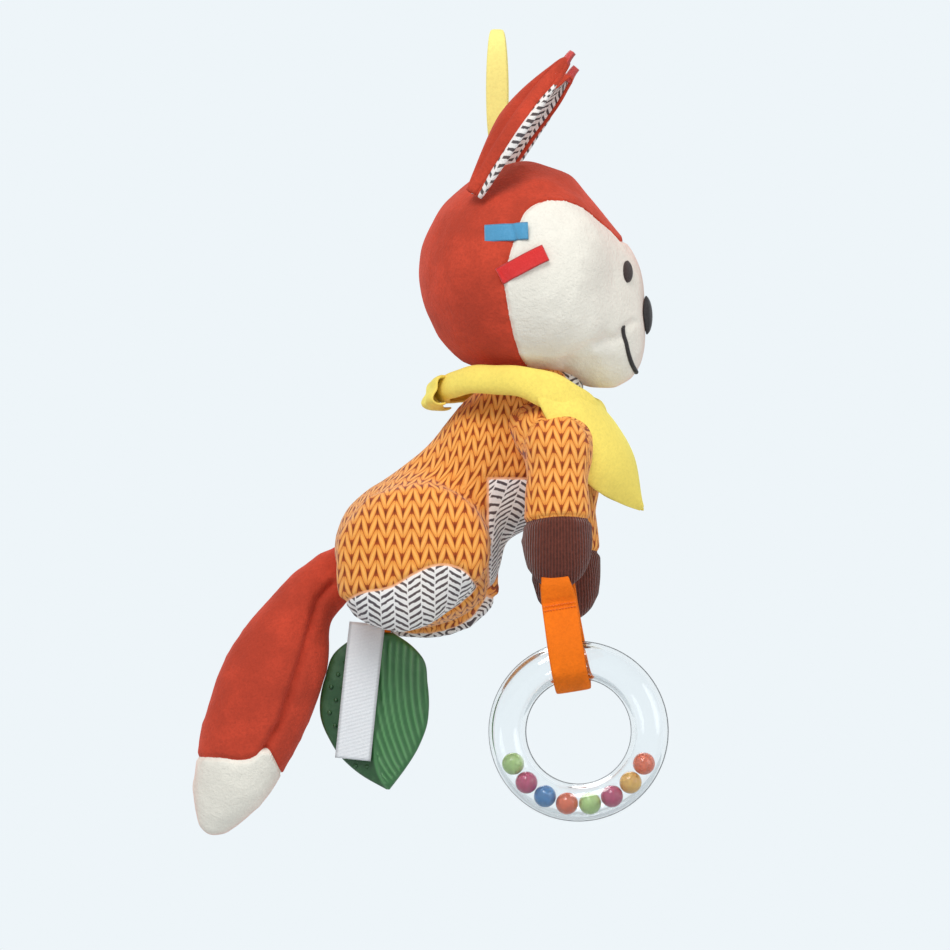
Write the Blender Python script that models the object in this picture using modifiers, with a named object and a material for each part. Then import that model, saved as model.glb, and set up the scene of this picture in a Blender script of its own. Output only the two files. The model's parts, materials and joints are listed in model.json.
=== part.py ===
"""Hanging fox rattle: a stuffed fox with a clear rattle ring, a leaf teether and a hanging loop.

Metres, +Z up. The origin is the inside of the top of the hanging loop, +X is the way the fox looks,
and the fox's right side faces -Y. The trunk hangs a little turned under the head, so its pieces are
modelled square and carried by an empty at the neck.
"""
import math

import bmesh
import bpy
from mathutils import Matrix, Vector

# Overall clearances and cloth
GAP = 0.0003              # between pieces that touch
SEAM_GAP = 0.0018         # between two panels' rims
WALL = 0.0012             # velour and its backing

# Hanging loop
LOOP_LENGTH = 0.0465      # inside top to the crown
LOOP_TAPE = 0.0012
LOOP_WIDTH = 0.0070
LOOP_SPREAD = 0.0130      # between its two legs

# Head
HEAD_RADIUS = 0.0425
HEAD_HALF_WIDTH = 0.0435
HEAD_FORWARD = 0.0130     # centre ahead of the loop
MUZZLE_SWELL = 0.0120
BROW_HOLLOW = 0.0080
CHEEK_HOLLOW = 0.0060
NECK_HOLLOW = 0.0125
FACE_TILT = -15.0         # the face looks this far below level
EYE_HEIGHT = 0.0076
EYE_WIDTH = 0.0070
NOSE_HEIGHT = 0.0120
NOSE_WIDTH = 0.0110
NOSE_DEPTH = 0.0030
STITCH_RADIUS = 0.0008
EYE_DEPTH = 0.0012
EYE_AT = (0.93, 0.36, -0.01)          # direction from the head's centre
NOSE_DIP = 6.0            # nose under the middle of the face
MOUTH_ANGLE = -45.0       # lowest point of the smile
MOUTH_LIFT = 11.0         # its corners above that
MOUTH_REACH = 23.0        # its corners from the mid-plane
HEAD_FILL_SHARE = 0.113   # stuffing inside the head's surface, against its radius
TAB_WIDTH = 0.0062
TAB_THICK = 0.0006
BLUE_TAB_LENGTH = 0.0152
BLUE_TAB_AT = (-0.0089, 0.0425, 0.0122)
RED_TAB_LENGTH = 0.0180
RED_TAB_AT = (-0.0029, 0.0439, 0.0001)
RED_TAB_RISE = 26.0

# Ears
EAR_LENGTH = 0.0500
EAR_WIDTH = 0.0240
EAR_DISH = 0.0045         # how far its middle is hollowed
EAR_CLOTH = 0.0009
EAR_FILM = 0.0003
EAR_FILM_GAP = 0.0009     # film to the cloth on each side
EAR_OUT = 0.0260          # base from the mid-plane
EAR_LEAN = 55.5           # its length above level, looking from the side
EAR_TURN = 47.0           # its width turned out of the side view
EAR_SWEEP = 0.0012        # base behind the loop
EAR_LIFT = 0.0034         # its base clear of the hood, so that it can fold
EAR_TAB_SIZE = (0.0034, 0.0016, 0.0050)

# Neck and trunk
NECK_TILT = 12.0          # the neck leans forward of upright
NECK_DROP = 0.0138        # neck centre under the head's underside
NECK_BACK = 0.0025        # and behind it
NECK_UNDER = -94.0        # that underside, seen from the head's centre
TRUNK_TURN = -2.0         # the trunk hangs this far turned under the head
TORSO_HALF_WIDTH = 0.0152
TORSO_BACK = 0.0231       # torso centre behind the neck
TORSO_DROP = 0.0388       # and under it
TORSO_OUTLINE = [(10, 0.0455), (39, 0.0520), (63, 0.0500), (82, 0.0415), (105, 0.0275), (127, 0.0245),
                 (155, 0.0280), (172, 0.0345), (186, 0.0412), (199, 0.0465), (214, 0.0480),
                 (240, 0.0415), (270, 0.0310), (300, 0.0245), (328, 0.0230), (348, 0.0335)]
NECK_SWELL = 0.0050
GUSSET_REACH = 70.0       # half its length, as an angle at the torso's centre
GUSSET_SPREAD = 34.0      # half its width, the same way
TRUNK_FILL_INSET = 0.0042 # stuffing inside the torso and haunches

# Haunches
HAUNCH_LENGTH = 0.0620
HAUNCH_HEIGHT = 0.0580
HAUNCH_THICK = 0.0216
HAUNCH_BACK = 0.0140      # centre behind the torso's centre
HAUNCH_DROP = 0.0215      # and under it
SOLE_REACH = 62.0         # half a sole's length, as an angle at the haunch's centre
SOLE_NARROWING = 0.62     # its width as a share of that
SOLE_POLE = (-0.06, 0.46, -0.90)      # the way the middle of a sole faces

# Arms
ARM_LENGTH = 0.0560
ARM_WIDTH = 0.0260
ARM_THICK = 0.0222
ARM_AHEAD = 0.0385        # centre ahead of the torso's centre
ARM_DROP = {"right": 0.0050, "left": 0.0143}
CUFF_DROP = 0.0035        # cuff below the arm's middle
ARM_FILL_INSET = 0.0026
PAW_LOOP_SIZE = (0.0050, 0.0024, 0.0060)

# Scarf
SCARF_RADIUS = 0.0268
SCARF_HEIGHT = 0.0090
SCARF_THICK = 0.0022
KNOT_SIZE = (0.0060, 0.0150, 0.0124)
KNOT_DROP = 0.0035
FLAP_LENGTH = 0.0370
FLAP_RISE = 0.0110        # its corners above its tip
FLAP_HALF_WIDTH = 0.0140
FLAP_TOP = 0.0060         # its top edge under the neck's centre
FLAP_FLARE = 0.0140       # its tip ahead of its top edge
FLAP_THICK = 0.0012
FLAP_STANDOFF = 0.0045    # its top edge ahead of the scarf's middle line
FLAP_CURL = 22.0          # how hard it bends round the chest, per metre

# Tail
TAIL_OUTLINE = [(0, 0.0200), (31, 0.0270), (49, 0.0345), (60, 0.0435), (70, 0.0458), (82, 0.0395),
                (97, 0.0300), (121, 0.0228), (171, 0.0200), (197, 0.0250), (218, 0.0337), (229, 0.0425),
                (240, 0.0530), (248, 0.0580), (257, 0.0506), (268, 0.0407), (292, 0.0258), (320, 0.0205)]
TAIL_HALF_WIDTH = 0.0160
TAIL_LEAN = 248.0         # direction of its tip
TAIL_ROOT = (69.0, 0.0353)     # middle of its rounded root from its centre: direction, distance
TAIL_ROOT_RADIUS = 0.0105
TAIL_ROOT_DROP = 0.0350   # that middle under the torso's centre
TIP_SHARE = 52.0          # where the cream tip starts, on the ring scale from the tip
TAIL_CLEARANCE = 0.0010   # root behind the rump
TAIL_FILL_INSET = 0.0045

# Strap, ring and beads
RING_RADIUS = 0.0325
RING_TUBE = 0.00675
RING_WALL = 0.0015
BEAD_RADIUS = 0.0040
BEAD_COUNT = 8
BEAD_GAP = 0.00035        # between neighbouring beads at rest
STRAP_WIDTH = 0.0130
STRAP_THICK = 0.0018
STRAP_PLAY = 0.0032       # between the strap and the ring's tube
STRAP_LENGTH = 0.0250     # paw to the middle of the tube
STRAP_TILT = 9.0
THROAT_GAP = 0.0028       # between its two legs where they meet
THROAT_FLARE = 0.0008     # each leg further out by this at the throat's foot
THROAT_LENGTH = 0.0030
RING_SLIDE = 0.0035       # the ring's middle ahead of the strap's loop

# Teether and label
LEAF_LENGTH = 0.0560
LEAF_WIDTH = 0.0365
LEAF_THICK = 0.0050
LEAF_AHEAD = -0.0275      # its middle against the torso's centre
LEAF_LEAN = 4.0
RIBBON_WIDTH = 0.0080
RIBBON_LENGTH = 0.0050
RIBBON_THICK = 0.0016
LABEL_LENGTH = 0.0465
LABEL_WIDTH = 0.0132
LABEL_THICK = 0.0006
LABEL_STANDOFF = 0.0015   # beside the leaf
LABEL_AHEAD = -0.0325
LABEL_DROP = 0.0465
LABEL_LEAN = -6.0
SEAT_DROP = 0.0415        # seat seam under the torso's centre

MATERIALS = {
    "velour_red": ((0.62, 0.07, 0.03), 0.85), "velour_cream": ((0.87, 0.82, 0.74), 0.85),
    "print_knit": ((0.90, 0.34, 0.06), 0.80), "print_herringbone": ((0.75, 0.72, 0.68), 0.80),
    "velour_brown": ((0.11, 0.03, 0.02), 0.85), "velour_yellow": ((0.97, 0.75, 0.20), 0.80),
    "strap_orange": ((0.97, 0.22, 0.01), 0.80), "ribbon_blue": ((0.10, 0.40, 0.68), 0.40),
    "ribbon_red": ((0.82, 0.01, 0.01), 0.40), "ribbon_coral": ((0.80, 0.10, 0.08), 0.50),
    "satin_white": ((0.75, 0.75, 0.76), 0.40), "clear_plastic": ((0.90, 0.92, 0.95), 0.05),
    "teether_green": ((0.05, 0.14, 0.06), 0.30), "embroidery_dark": ((0.03, 0.02, 0.02), 0.60),
    "stuffing_white": ((0.85, 0.85, 0.85), 0.90), "crinkle_film": ((0.80, 0.82, 0.85), 0.20),
    "bead_green": ((0.48, 0.68, 0.23), 0.30), "bead_pink": ((0.58, 0.06, 0.16), 0.30),
    "bead_blue": ((0.07, 0.26, 0.58), 0.30), "bead_orange": ((0.87, 0.16, 0.06), 0.30),
    "bead_yellow": ((0.96, 0.51, 0.10), 0.30),
}
BEAD_COLOURS = ["green", "pink", "blue", "orange", "green", "pink", "yellow", "orange"]

SIDES = {"right": -1, "left": 1}
UP = Vector((0, 0, 1))
ACROSS = Vector((0, 1, 0))


def slant(degrees):
    """Unit direction in the mid-plane, counted from +X towards +Z."""
    angle = math.radians(degrees)
    return Vector((math.cos(angle), 0, math.sin(angle)))


def mirrored(spot, sign):
    """A place given for the left side, on the side that the sign names."""
    return Vector((spot[0], spot[1] * sign, spot[2]))


def outline(knots):
    """Radius by angle: a smooth closed curve through a few (degrees, radius) knots."""
    knots = sorted(knots)
    count = len(knots)

    def knot(index):
        turn, place = divmod(index, count)
        return knots[place][0] + 360 * turn, knots[place][1]

    def slope(index):
        before, after = knot(index - 1), knot(index + 1)
        return (after[1] - before[1]) / (after[0] - before[0])

    def radius(degrees):
        degrees = (degrees - knots[0][0]) % 360 + knots[0][0]
        index = max(i for i in range(count) if knots[i][0] <= degrees)
        start, end = knot(index), knot(index + 1)
        span = end[0] - start[0]
        t = (degrees - start[0]) / span
        return ((2 * t**3 - 3 * t**2 + 1) * start[1] + (t**3 - 2 * t**2 + t) * span * slope(index)
                + (3 * t**2 - 2 * t**3) * end[1] + (t**3 - t**2) * span * slope(index + 1))

    return radius


def oval(half_x, half_z, power=2.0):
    """Radius by angle of an oval, fuller at the corners as the power grows."""
    def radius(degrees):
        angle = math.radians(degrees)
        return (abs(math.cos(angle) / half_x) ** power
                + abs(math.sin(angle) / half_z) ** power) ** (-1 / power)

    return radius


class Pod:
    """A stuffed form: its surface is one distance from the centre in every direction.

    profile is its outline in the mid-plane, half_width is across it, and each swell is
    (direction, spread in degrees, size, how much narrower across). Panels are cut round the pole.
    """

    def __init__(self, profile, half_width, pole, up, power=2.0, stretch=1.0, swells=()):
        self.profile = profile
        self.half_width = half_width
        self.pole = pole.normalized()
        self.up = (up - up.dot(self.pole) * self.pole).normalized()
        self.side = self.pole.cross(self.up)
        self.power = power
        self.stretch = stretch
        self.swells = swells

    def reach(self, direction, inset=0.0):
        flat = math.hypot(direction.x, direction.z)
        radius = self.profile(math.degrees(math.atan2(direction.z, direction.x))) - inset
        ratio = (flat / radius) ** self.power + (abs(direction.y) / (self.half_width - inset)) ** self.power
        total = ratio ** (-1 / self.power)
        for axis, spread, size, narrow in self.swells:
            seen = Vector((direction.x, direction.y * narrow, direction.z))
            total += size * math.exp(-(math.degrees(seen.angle(axis)) / spread) ** 2)
        return total

    def surface(self, direction, lift=0.0):
        """The surface point in a direction, lifted off the surface."""
        direction = direction.normalized()
        return direction * self.reach(direction) + self.normal(direction) * lift

    def normal(self, direction):
        """The outward normal of the surface in a direction."""
        direction = direction.normalized()
        first = direction.orthogonal().normalized()
        second = direction.cross(first)
        step = 0.02
        ends = []
        for tangent in (first, second):
            ahead = (direction + tangent * step).normalized()
            back = (direction - tangent * step).normalized()
            ends.append(ahead * self.reach(ahead) - back * self.reach(back))
        return ends[0].cross(ends[1]).normalized()

    def point(self, theta, beta, inset=0.0):
        """A surface point by its ring angle from the pole and its turn round it, in radians."""
        alpha = math.atan2(math.sin(theta), self.stretch * math.cos(theta))
        around = self.up * math.cos(beta) + self.side * math.sin(beta)
        direction = self.pole * math.cos(alpha) + around * math.sin(alpha)
        return direction * self.reach(direction, inset)

    def mesh(self, name, segments, rings, panel=None, seam=None, inset=0.0):
        """The whole form, or the panel on one side of the seam ring; seam gives degrees by beta."""
        form = bmesh.new()
        bmesh.ops.create_uvsphere(form, u_segments=segments, v_segments=rings, radius=1.0)
        seam_ring = round(rings * seam(math.pi / 2) / 180) if seam else rings
        spare = []
        for vert in form.verts:
            theta = math.acos(max(-1.0, min(1.0, vert.co.z)))
            beta = math.atan2(vert.co.y, vert.co.x)
            ring = round(theta * rings / math.pi)
            if panel == "front" and ring > seam_ring or panel == "back" and ring < seam_ring:
                spare.append(vert)
                continue
            if panel:
                edge = math.radians(seam(beta))
                pace = (self.point(edge + 0.01, beta) - self.point(edge - 0.01, beta)).length / 0.02
                step = SEAM_GAP / 2 / pace
                if panel == "front":
                    theta = (edge - step) * ring / seam_ring
                else:
                    theta = math.pi - (math.pi - edge - step) * (rings - ring) / (rings - seam_ring)
            vert.co = self.point(theta, beta, inset)
        bmesh.ops.delete(form, geom=spare, context="VERTS")
        mesh = bpy.data.meshes.new(name)
        form.to_mesh(mesh)
        form.free()
        return mesh


# Building blocks

def add(name, mesh, material, place, parent=None, turn=None):
    """A named object in the toy, with its material and its place."""
    item = bpy.data.objects.new(name, mesh)
    toy.objects.link(item)
    item.location = place
    if turn:
        item.rotation_euler = turn.to_euler()
    item.parent = parent
    item.data.materials.append(materials[material])
    if item.type == "MESH":
        item.data.shade_smooth()
    return item


def thicken(item, thickness, offset=-1.0):
    wall = item.modifiers.new("wall", "SOLIDIFY")
    wall.thickness = thickness
    wall.offset = offset
    return item


def plain_mesh(name, form):
    mesh = bpy.data.meshes.new(name)
    form.to_mesh(mesh)
    form.free()
    return mesh


def facing(normal, along):
    """Rotation that takes Z to the normal and X as near as it can to along."""
    z_axis = normal.normalized()
    x_axis = (along - along.dot(z_axis) * z_axis).normalized()
    return Matrix((x_axis, z_axis.cross(x_axis), z_axis)).transposed()


def stuffed(name, pod, place, covers, seam, segments, rings, parent=None, filling=(10, 8), inset=0.0):
    """A stuffed form: a front and a back cover, and the stuffing set inside their surface."""
    for cover, material, panel in covers:
        mesh = pod.mesh(cover, segments, rings, panel, seam)
        thicken(add(cover, mesh, material, place, parent), WALL)
    mesh = pod.mesh(name, filling[0], filling[1], inset=inset)
    add(name, mesh, "stuffing_white", place, parent)


def pad(name, pod, place, direction, along, size, material, parent=None):
    """A flat oval pad resting on a stuffed form."""
    form = bmesh.new()
    bmesh.ops.create_uvsphere(form, u_segments=10, v_segments=6, radius=0.5)
    bmesh.ops.scale(form, vec=size, verts=form.verts)
    turn = facing(pod.normal(direction), along)
    sag = (max(size[0], size[1]) / 2) ** 2 / (2 * HEAD_RADIUS)
    point = place + pod.surface(direction, size[2] / 2 + GAP)
    add(name, plain_mesh(name, form), material, point + turn.col[2] * sag * 0.2, parent, turn)


def strip(name, pod, place, middle, along, size, material):
    """A ribbon laid over a stuffed form: middle is a point near it, along is its length's way."""
    form = bmesh.new()
    bmesh.ops.create_grid(form, x_segments=4, y_segments=2, size=0.5)
    across = pod.normal(middle).cross(along).normalized()
    for vert in form.verts:
        spot = middle + along * vert.co.x * size[0] + across * vert.co.y * size[1]
        vert.co = pod.surface(spot, GAP)
    thicken(add(name, plain_mesh(name, form), material, place), TAB_THICK, 1.0)


def band(name, points, width, thickness, material, place, parent=None, turn=None):
    """A closed loop of tape: a flat ring outline across Y and Z, extruded along X."""
    curve = bpy.data.curves.new(name, "CURVE")
    curve.dimensions = "2D"
    curve.fill_mode = "BOTH"
    curve.extrude = width / 2
    for inner in (False, True):
        spline = curve.splines.new("POLY")
        spline.use_cyclic_u = True
        spline.points.add(len(points) - 1)
        for index, (y, z) in enumerate(points):
            before, after = points[index - 1], points[(index + 1) % len(points)]
            run = Vector((after[0] - before[0], after[1] - before[1])).normalized()
            shift = Vector((run.y, -run.x)) * (thickness if not inner else 0.0)
            spline.points[index].co = (y + shift.x, z + shift.y, 0, 1)
    stand = Matrix.Rotation(math.radians(90), 3, "Z") @ Matrix.Rotation(math.radians(90), 3, "X")
    add(name, curve, material, place, parent, turn @ stand if turn else stand)


def leaf_shape(name, length, width, thickness, material, place, parent, turn):
    """A flat pointed leaf whose stalk end is at its place, hanging down."""
    curve = bpy.data.curves.new(name, "CURVE")
    curve.dimensions = "2D"
    curve.fill_mode = "BOTH"
    curve.extrude = thickness / 2
    spline = curve.splines.new("POLY")
    spline.use_cyclic_u = True
    steps = 12
    outer = []
    for side in (1, -1):
        for index in range(steps):
            along = index / steps if side == 1 else 1 - index / steps
            bulge = math.sin(math.pi * along) ** 0.8 * (1.0 + 0.10 * math.cos(math.pi * along))
            outer.append((side * width / 2 * bulge, -along * length))
    spline.points.add(len(outer) - 1)
    for point, (x, z) in zip(spline.points, outer):
        point.co = (x, z, 0, 1)
    add(name, curve, material, place, parent, turn @ Matrix.Rotation(math.radians(90), 3, "X"))


def sheet(name, spots, thickness, material, place, parent=None, turn=None):
    """A thin cloth sheet through a grid of points, given as rows of equal length."""
    form = bmesh.new()
    bmesh.ops.create_grid(form, x_segments=len(spots[0]) - 1, y_segments=len(spots) - 1, size=0.5)
    for vert in form.verts:
        column = round((vert.co.x + 0.5) * (len(spots[0]) - 1))
        row = round((vert.co.y + 0.5) * (len(spots) - 1))
        vert.co = spots[row][column]
    thicken(add(name, plain_mesh(name, form), material, place, parent, turn), thickness, 0.0)


# The fox, from the top down

def make_loop():
    radius = LOOP_SPREAD / 2
    foot = LOOP_LENGTH - radius
    top = [(radius * math.cos(math.radians(a)), -radius + radius * math.sin(math.radians(a)))
           for a in range(0, 181, 20)]
    bottom = [(radius * math.cos(math.radians(a)), -foot + radius * math.sin(math.radians(a)))
              for a in range(180, 361, 20)]
    band("hanging_loop", top + bottom, LOOP_WIDTH, LOOP_TAPE, "velour_yellow", Vector((0, 0, 0)))


def head_pod():
    return Pod(oval(HEAD_RADIUS, HEAD_RADIUS), HEAD_HALF_WIDTH, slant(FACE_TILT), slant(FACE_TILT + 90),
               swells=[(slant(-50), 24, MUZZLE_SWELL, 1.35), (slant(38), 30, -BROW_HOLLOW, 0.7),
                       (slant(-87), 21, -NECK_HOLLOW, 1.0)]
               + [(Vector((0.80, 0.58 * sign, -0.10)), 22, -CHEEK_HOLLOW, 1.0) for sign in (1, -1)])


def face_edge(beta):
    """Where the cream face meets the hood: a peak on the forehead, wide cheeks, closer at the jaw."""
    turn = abs(math.degrees(math.atan2(math.sin(beta), math.cos(beta))))
    peak = 66 / (1 + math.exp((44 - turn) / 5.0))
    jaw = 22 * max(0.0, (turn - 100) / 80)
    return 35 + peak - jaw


def head_place():
    """Centre of the head: its crown meets the foot of the loop."""
    pod = head_pod()
    foot = -LOOP_LENGTH - LOOP_TAPE - GAP
    angle = 90.0
    for _ in range(8):
        crown = pod.surface(slant(angle))
        angle += math.degrees(math.atan2(crown.x + HEAD_FORWARD, crown.z))
    return Vector((HEAD_FORWARD, 0, foot - pod.surface(slant(angle)).z))


def make_head(place):
    pod = head_pod()
    stuffed("head_stuffing", pod, place,
            [("head_face", "velour_cream", "front"), ("head_hood", "velour_red", "back")],
            face_edge, 28, 14, filling=(16, 10), inset=HEAD_RADIUS * HEAD_FILL_SHARE)
    pad("nose", pod, place, slant(FACE_TILT - NOSE_DIP), ACROSS, (NOSE_WIDTH, NOSE_HEIGHT, NOSE_DEPTH),
        "embroidery_dark")
    for side, sign in SIDES.items():
        spot = mirrored(EYE_AT, sign)
        pad("eye_" + side, pod, place, spot, UP.cross(spot), (EYE_WIDTH, EYE_HEIGHT, EYE_DEPTH),
            "embroidery_dark")
        strip("tab_blue_" + side, pod, place, mirrored(BLUE_TAB_AT, sign), slant(0),
              (BLUE_TAB_LENGTH, TAB_WIDTH), "ribbon_blue")
        strip("tab_red_" + side, pod, place, mirrored(RED_TAB_AT, sign), slant(RED_TAB_RISE),
              (RED_TAB_LENGTH, TAB_WIDTH), "ribbon_red")
    make_mouth(pod, place)


def make_mouth(pod, place):
    curve = bpy.data.curves.new("mouth_stitch", "CURVE")
    curve.dimensions = "3D"
    curve.bevel_depth = STITCH_RADIUS
    curve.bevel_resolution = 1
    curve.use_fill_caps = True
    spline = curve.splines.new("POLY")
    count = 13
    spline.points.add(count - 1)
    for index in range(count):
        share = 2 * index / (count - 1) - 1
        turned = math.radians(MOUTH_REACH * share)
        spot = slant(MOUTH_ANGLE + MOUTH_LIFT * share**2) * math.cos(turned)
        spot.y = math.sin(turned)
        spline.points[index].co = (*pod.surface(spot, STITCH_RADIUS + GAP), 1)
    add("mouth_stitch", curve, "embroidery_dark", place)


def ear_rows(setback, back):
    """Points of one dished leaf of the ear, base to tip; back is the sign of Y behind the ear."""
    rows = []
    for up in (0.0, 0.12, 0.3, 0.5, 0.68, 0.84, 0.94, 1.0):
        half = EAR_WIDTH / 2 * (0.32 + 0.68 * math.sin(math.pi * min(up / 0.8, 1.0)))
        half *= math.sqrt(max(1 - (up / 1.02) ** 4, 0.0))
        row = []
        for across in (-1.0, -0.6, -0.2, 0.2, 0.6, 1.0):
            dish = EAR_DISH * (1 - across**2) * math.sin(math.pi * (0.1 + 0.85 * up))
            row.append(Vector((across * half, back * (dish + setback), up * EAR_LENGTH)))
        rows.append(row)
    return rows


def make_ears(head, place):
    """Each ear is a dished leaf: velour behind, print in front, crackling film between."""
    layers = (("front", "print_herringbone", EAR_CLOTH, -1), ("film", "crinkle_film", EAR_FILM, 0),
              ("back", "velour_red", EAR_CLOTH, 1))
    step = (EAR_CLOTH + EAR_FILM) / 2 + EAR_FILM_GAP
    for side, sign in SIDES.items():
        turned = math.radians(EAR_TURN)
        length = slant(EAR_LEAN)
        width = -math.cos(turned) * slant(EAR_LEAN - 90) - math.sin(turned) * sign * ACROSS
        turn = Matrix((width, length.cross(width), length)).transposed()
        seat = Vector((-EAR_SWEEP - place.x, sign * EAR_OUT, HEAD_RADIUS))
        for _ in range(12):
            seat.z = math.sqrt(head.reach(seat.normalized()) ** 2 - seat.x**2 - seat.y**2)
        base = place + seat + head.normal(seat) * EAR_LIFT
        for kind, material, cloth, layer in layers:
            name = "ear_" + side + "_" + kind
            sheet(name, ear_rows(layer * step, -sign), cloth, material, base, turn=turn)
        form = bmesh.new()
        bmesh.ops.create_cube(form, size=1.0)
        bmesh.ops.scale(form, vec=EAR_TAB_SIZE, verts=form.verts)
        tip = base + length * (EAR_LENGTH + EAR_TAB_SIZE[2] / 2 + GAP)
        name = "ear_" + side + "_tab"
        add(name, plain_mesh(name, form), "ribbon_coral", tip, turn=turn)


# The trunk, upright in its own frame and carried by the neck

def make_torso(neck):
    torso = torso_pod()
    place = torso_place(neck.location) - neck.location
    stuffed("torso_stuffing", torso, place,
            [("belly_gusset", "print_herringbone", "front"), ("torso_cover", "print_knit", "back")],
            gusset_edge, 24, 14, neck, filling=(16, 10), inset=TRUNK_FILL_INSET)


def torso_pod():
    swells = [(Vector((0.36, 0.45 * sign, 0.82)).normalized(), 20, NECK_SWELL, 1.0) for sign in (1, -1)]
    return Pod(outline(TORSO_OUTLINE), TORSO_HALF_WIDTH, slant(-12), slant(78), power=2.4,
               stretch=0.85, swells=swells)


def torso_place(neck):
    return neck + Vector((-TORSO_BACK, 0, -TORSO_DROP))


def gusset_edge(beta):
    return ((math.cos(beta) / GUSSET_REACH) ** 2 + (math.sin(beta) / GUSSET_SPREAD) ** 2) ** -0.5


def haunch_pod(sign):
    return Pod(oval(HAUNCH_LENGTH / 2, HAUNCH_HEIGHT / 2, 2.3), HAUNCH_THICK / 2,
               mirrored(SOLE_POLE, sign), slant(0), power=2.1)


def sole_edge(beta):
    across = SOLE_REACH * SOLE_NARROWING
    return ((math.cos(beta) / SOLE_REACH) ** 2 + (math.sin(beta) / across) ** 2) ** -0.5


def make_haunches(neck):
    for side, sign in SIDES.items():
        place = Vector((-TORSO_BACK - HAUNCH_BACK, 0, -TORSO_DROP - HAUNCH_DROP))
        place.y = sign * (TORSO_HALF_WIDTH + HAUNCH_THICK / 2 + GAP)
        name = "haunch_" + side
        stuffed(name + "_stuffing", haunch_pod(sign), place,
                [(name + "_sole", "print_herringbone", "front"), (name + "_cover", "print_knit", "back")],
                sole_edge, 18, 10, neck, filling=(12, 8), inset=TRUNK_FILL_INSET)


def arm_pod():
    return Pod(oval(ARM_WIDTH / 2, ARM_LENGTH / 2, 2.4), ARM_THICK / 2, -UP, slant(0),
               stretch=ARM_LENGTH / ARM_WIDTH)


def arm_place(side):
    place = Vector((-TORSO_BACK + ARM_AHEAD, 0, -TORSO_DROP - ARM_DROP[side]))
    place.y = SIDES[side] * (TORSO_HALF_WIDTH + ARM_THICK / 2 + GAP)
    return place


def make_arms(neck):
    cuff = math.degrees(math.acos(2 * CUFF_DROP / ARM_LENGTH))
    for side in SIDES:
        stuffed("arm_" + side + "_stuffing", arm_pod(), arm_place(side),
                [("paw_" + side, "velour_brown", "front"), ("sleeve_" + side, "print_knit", "back")],
                lambda beta: cuff, 16, 12, neck, filling=(10, 8), inset=ARM_FILL_INSET)
    form = bmesh.new()
    bmesh.ops.create_cube(form, size=1.0)
    bmesh.ops.scale(form, vec=PAW_LOOP_SIZE, verts=form.verts)
    place = arm_place("left") - UP * (ARM_LENGTH / 2 + PAW_LOOP_SIZE[2] / 2 + GAP)
    add("paw_loop_left", plain_mesh("paw_loop_left", form), "strap_orange", place, neck)


def make_scarf(neck):
    """A rolled band round the neck, a knot behind it and a pointed flap in front."""
    half = SCARF_HEIGHT / 2
    form = bmesh.new()
    corners = [(0, half), (SCARF_THICK * 0.8, half * 0.5), (SCARF_THICK, -half * 0.3), (0, -half),
               (-SCARF_THICK * 0.5, -half * 0.4), (-SCARF_THICK * 0.5, half * 0.5)]
    verts = [form.verts.new((SCARF_RADIUS + x, 0, z)) for x, z in corners]
    for index, vert in enumerate(verts):
        form.edges.new((vert, verts[(index + 1) % len(verts)]))
    turn = Matrix.Rotation(math.radians(NECK_TILT), 3, "Y")
    scarf = add("scarf_band", plain_mesh("scarf_band", form), "velour_yellow", Vector((0, 0, 0)), neck,
                turn)
    spin = scarf.modifiers.new("turned", "SCREW")
    spin.axis = "Z"
    spin.steps = spin.render_steps = 28
    spin.use_merge_vertices = True
    spin.merge_threshold = 0.00001

    knot = bmesh.new()
    bmesh.ops.create_uvsphere(knot, u_segments=12, v_segments=8, radius=0.5)
    bmesh.ops.scale(knot, vec=KNOT_SIZE, verts=knot.verts)
    place = turn @ Vector((-SCARF_RADIUS - SCARF_THICK - KNOT_SIZE[0] / 2 - GAP, 0, -KNOT_DROP))
    add("scarf_knot", plain_mesh("scarf_knot", knot), "velour_yellow", place, neck, turn)
    make_flap(neck)


def make_flap(neck):
    rows = []
    front = SCARF_RADIUS * math.cos(math.radians(NECK_TILT)) + FLAP_STANDOFF
    for down in (0.0, 0.2, 0.4, 0.6, 0.8, 1.0):
        row = []
        for across in (-1.0, -0.66, -0.33, 0.0, 0.33, 0.66, 1.0):
            y = across * FLAP_HALF_WIDTH
            bow = FLAP_FLARE * math.sin(down * math.pi / 2)
            drop = FLAP_LENGTH * down - FLAP_RISE * down * abs(across)
            row.append(Vector((front + bow - FLAP_CURL * y * y, y, -FLAP_TOP - drop)))
        rows.append(row)
    sheet("scarf_flap", rows, FLAP_THICK, "velour_yellow", Vector((0, 0, 0)), neck)


def tail_pod():
    return Pod(outline(TAIL_OUTLINE), TAIL_HALF_WIDTH, slant(TAIL_LEAN), slant(TAIL_LEAN + 90),
               stretch=2.4)


def tail_hinge():
    """Middle of the tail's rounded root, just behind the rump, in the neck's frame."""
    torso = torso_pod()
    edge = min(torso.surface(slant(angle)).x for angle in range(150, 260, 2))
    edge = min(edge, -HAUNCH_BACK - HAUNCH_LENGTH / 2)
    return Vector((-TORSO_BACK + edge - TAIL_ROOT_RADIUS - TAIL_CLEARANCE, 0, -TORSO_DROP - TAIL_ROOT_DROP))


def make_tail(neck):
    place = tail_hinge() - slant(TAIL_ROOT[0]) * TAIL_ROOT[1]
    stuffed("tail_stuffing", tail_pod(), place,
            [("tail_tip", "velour_cream", "front"), ("tail_cover", "velour_red", "back")],
            lambda beta: TIP_SHARE, 16, 14, neck, filling=(10, 10), inset=TAIL_FILL_INSET)


def strap_top():
    """Foot of the near paw, where the strap is sewn, in the neck's frame."""
    return arm_place("right") - UP * (ARM_LENGTH / 2 + GAP)


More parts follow.
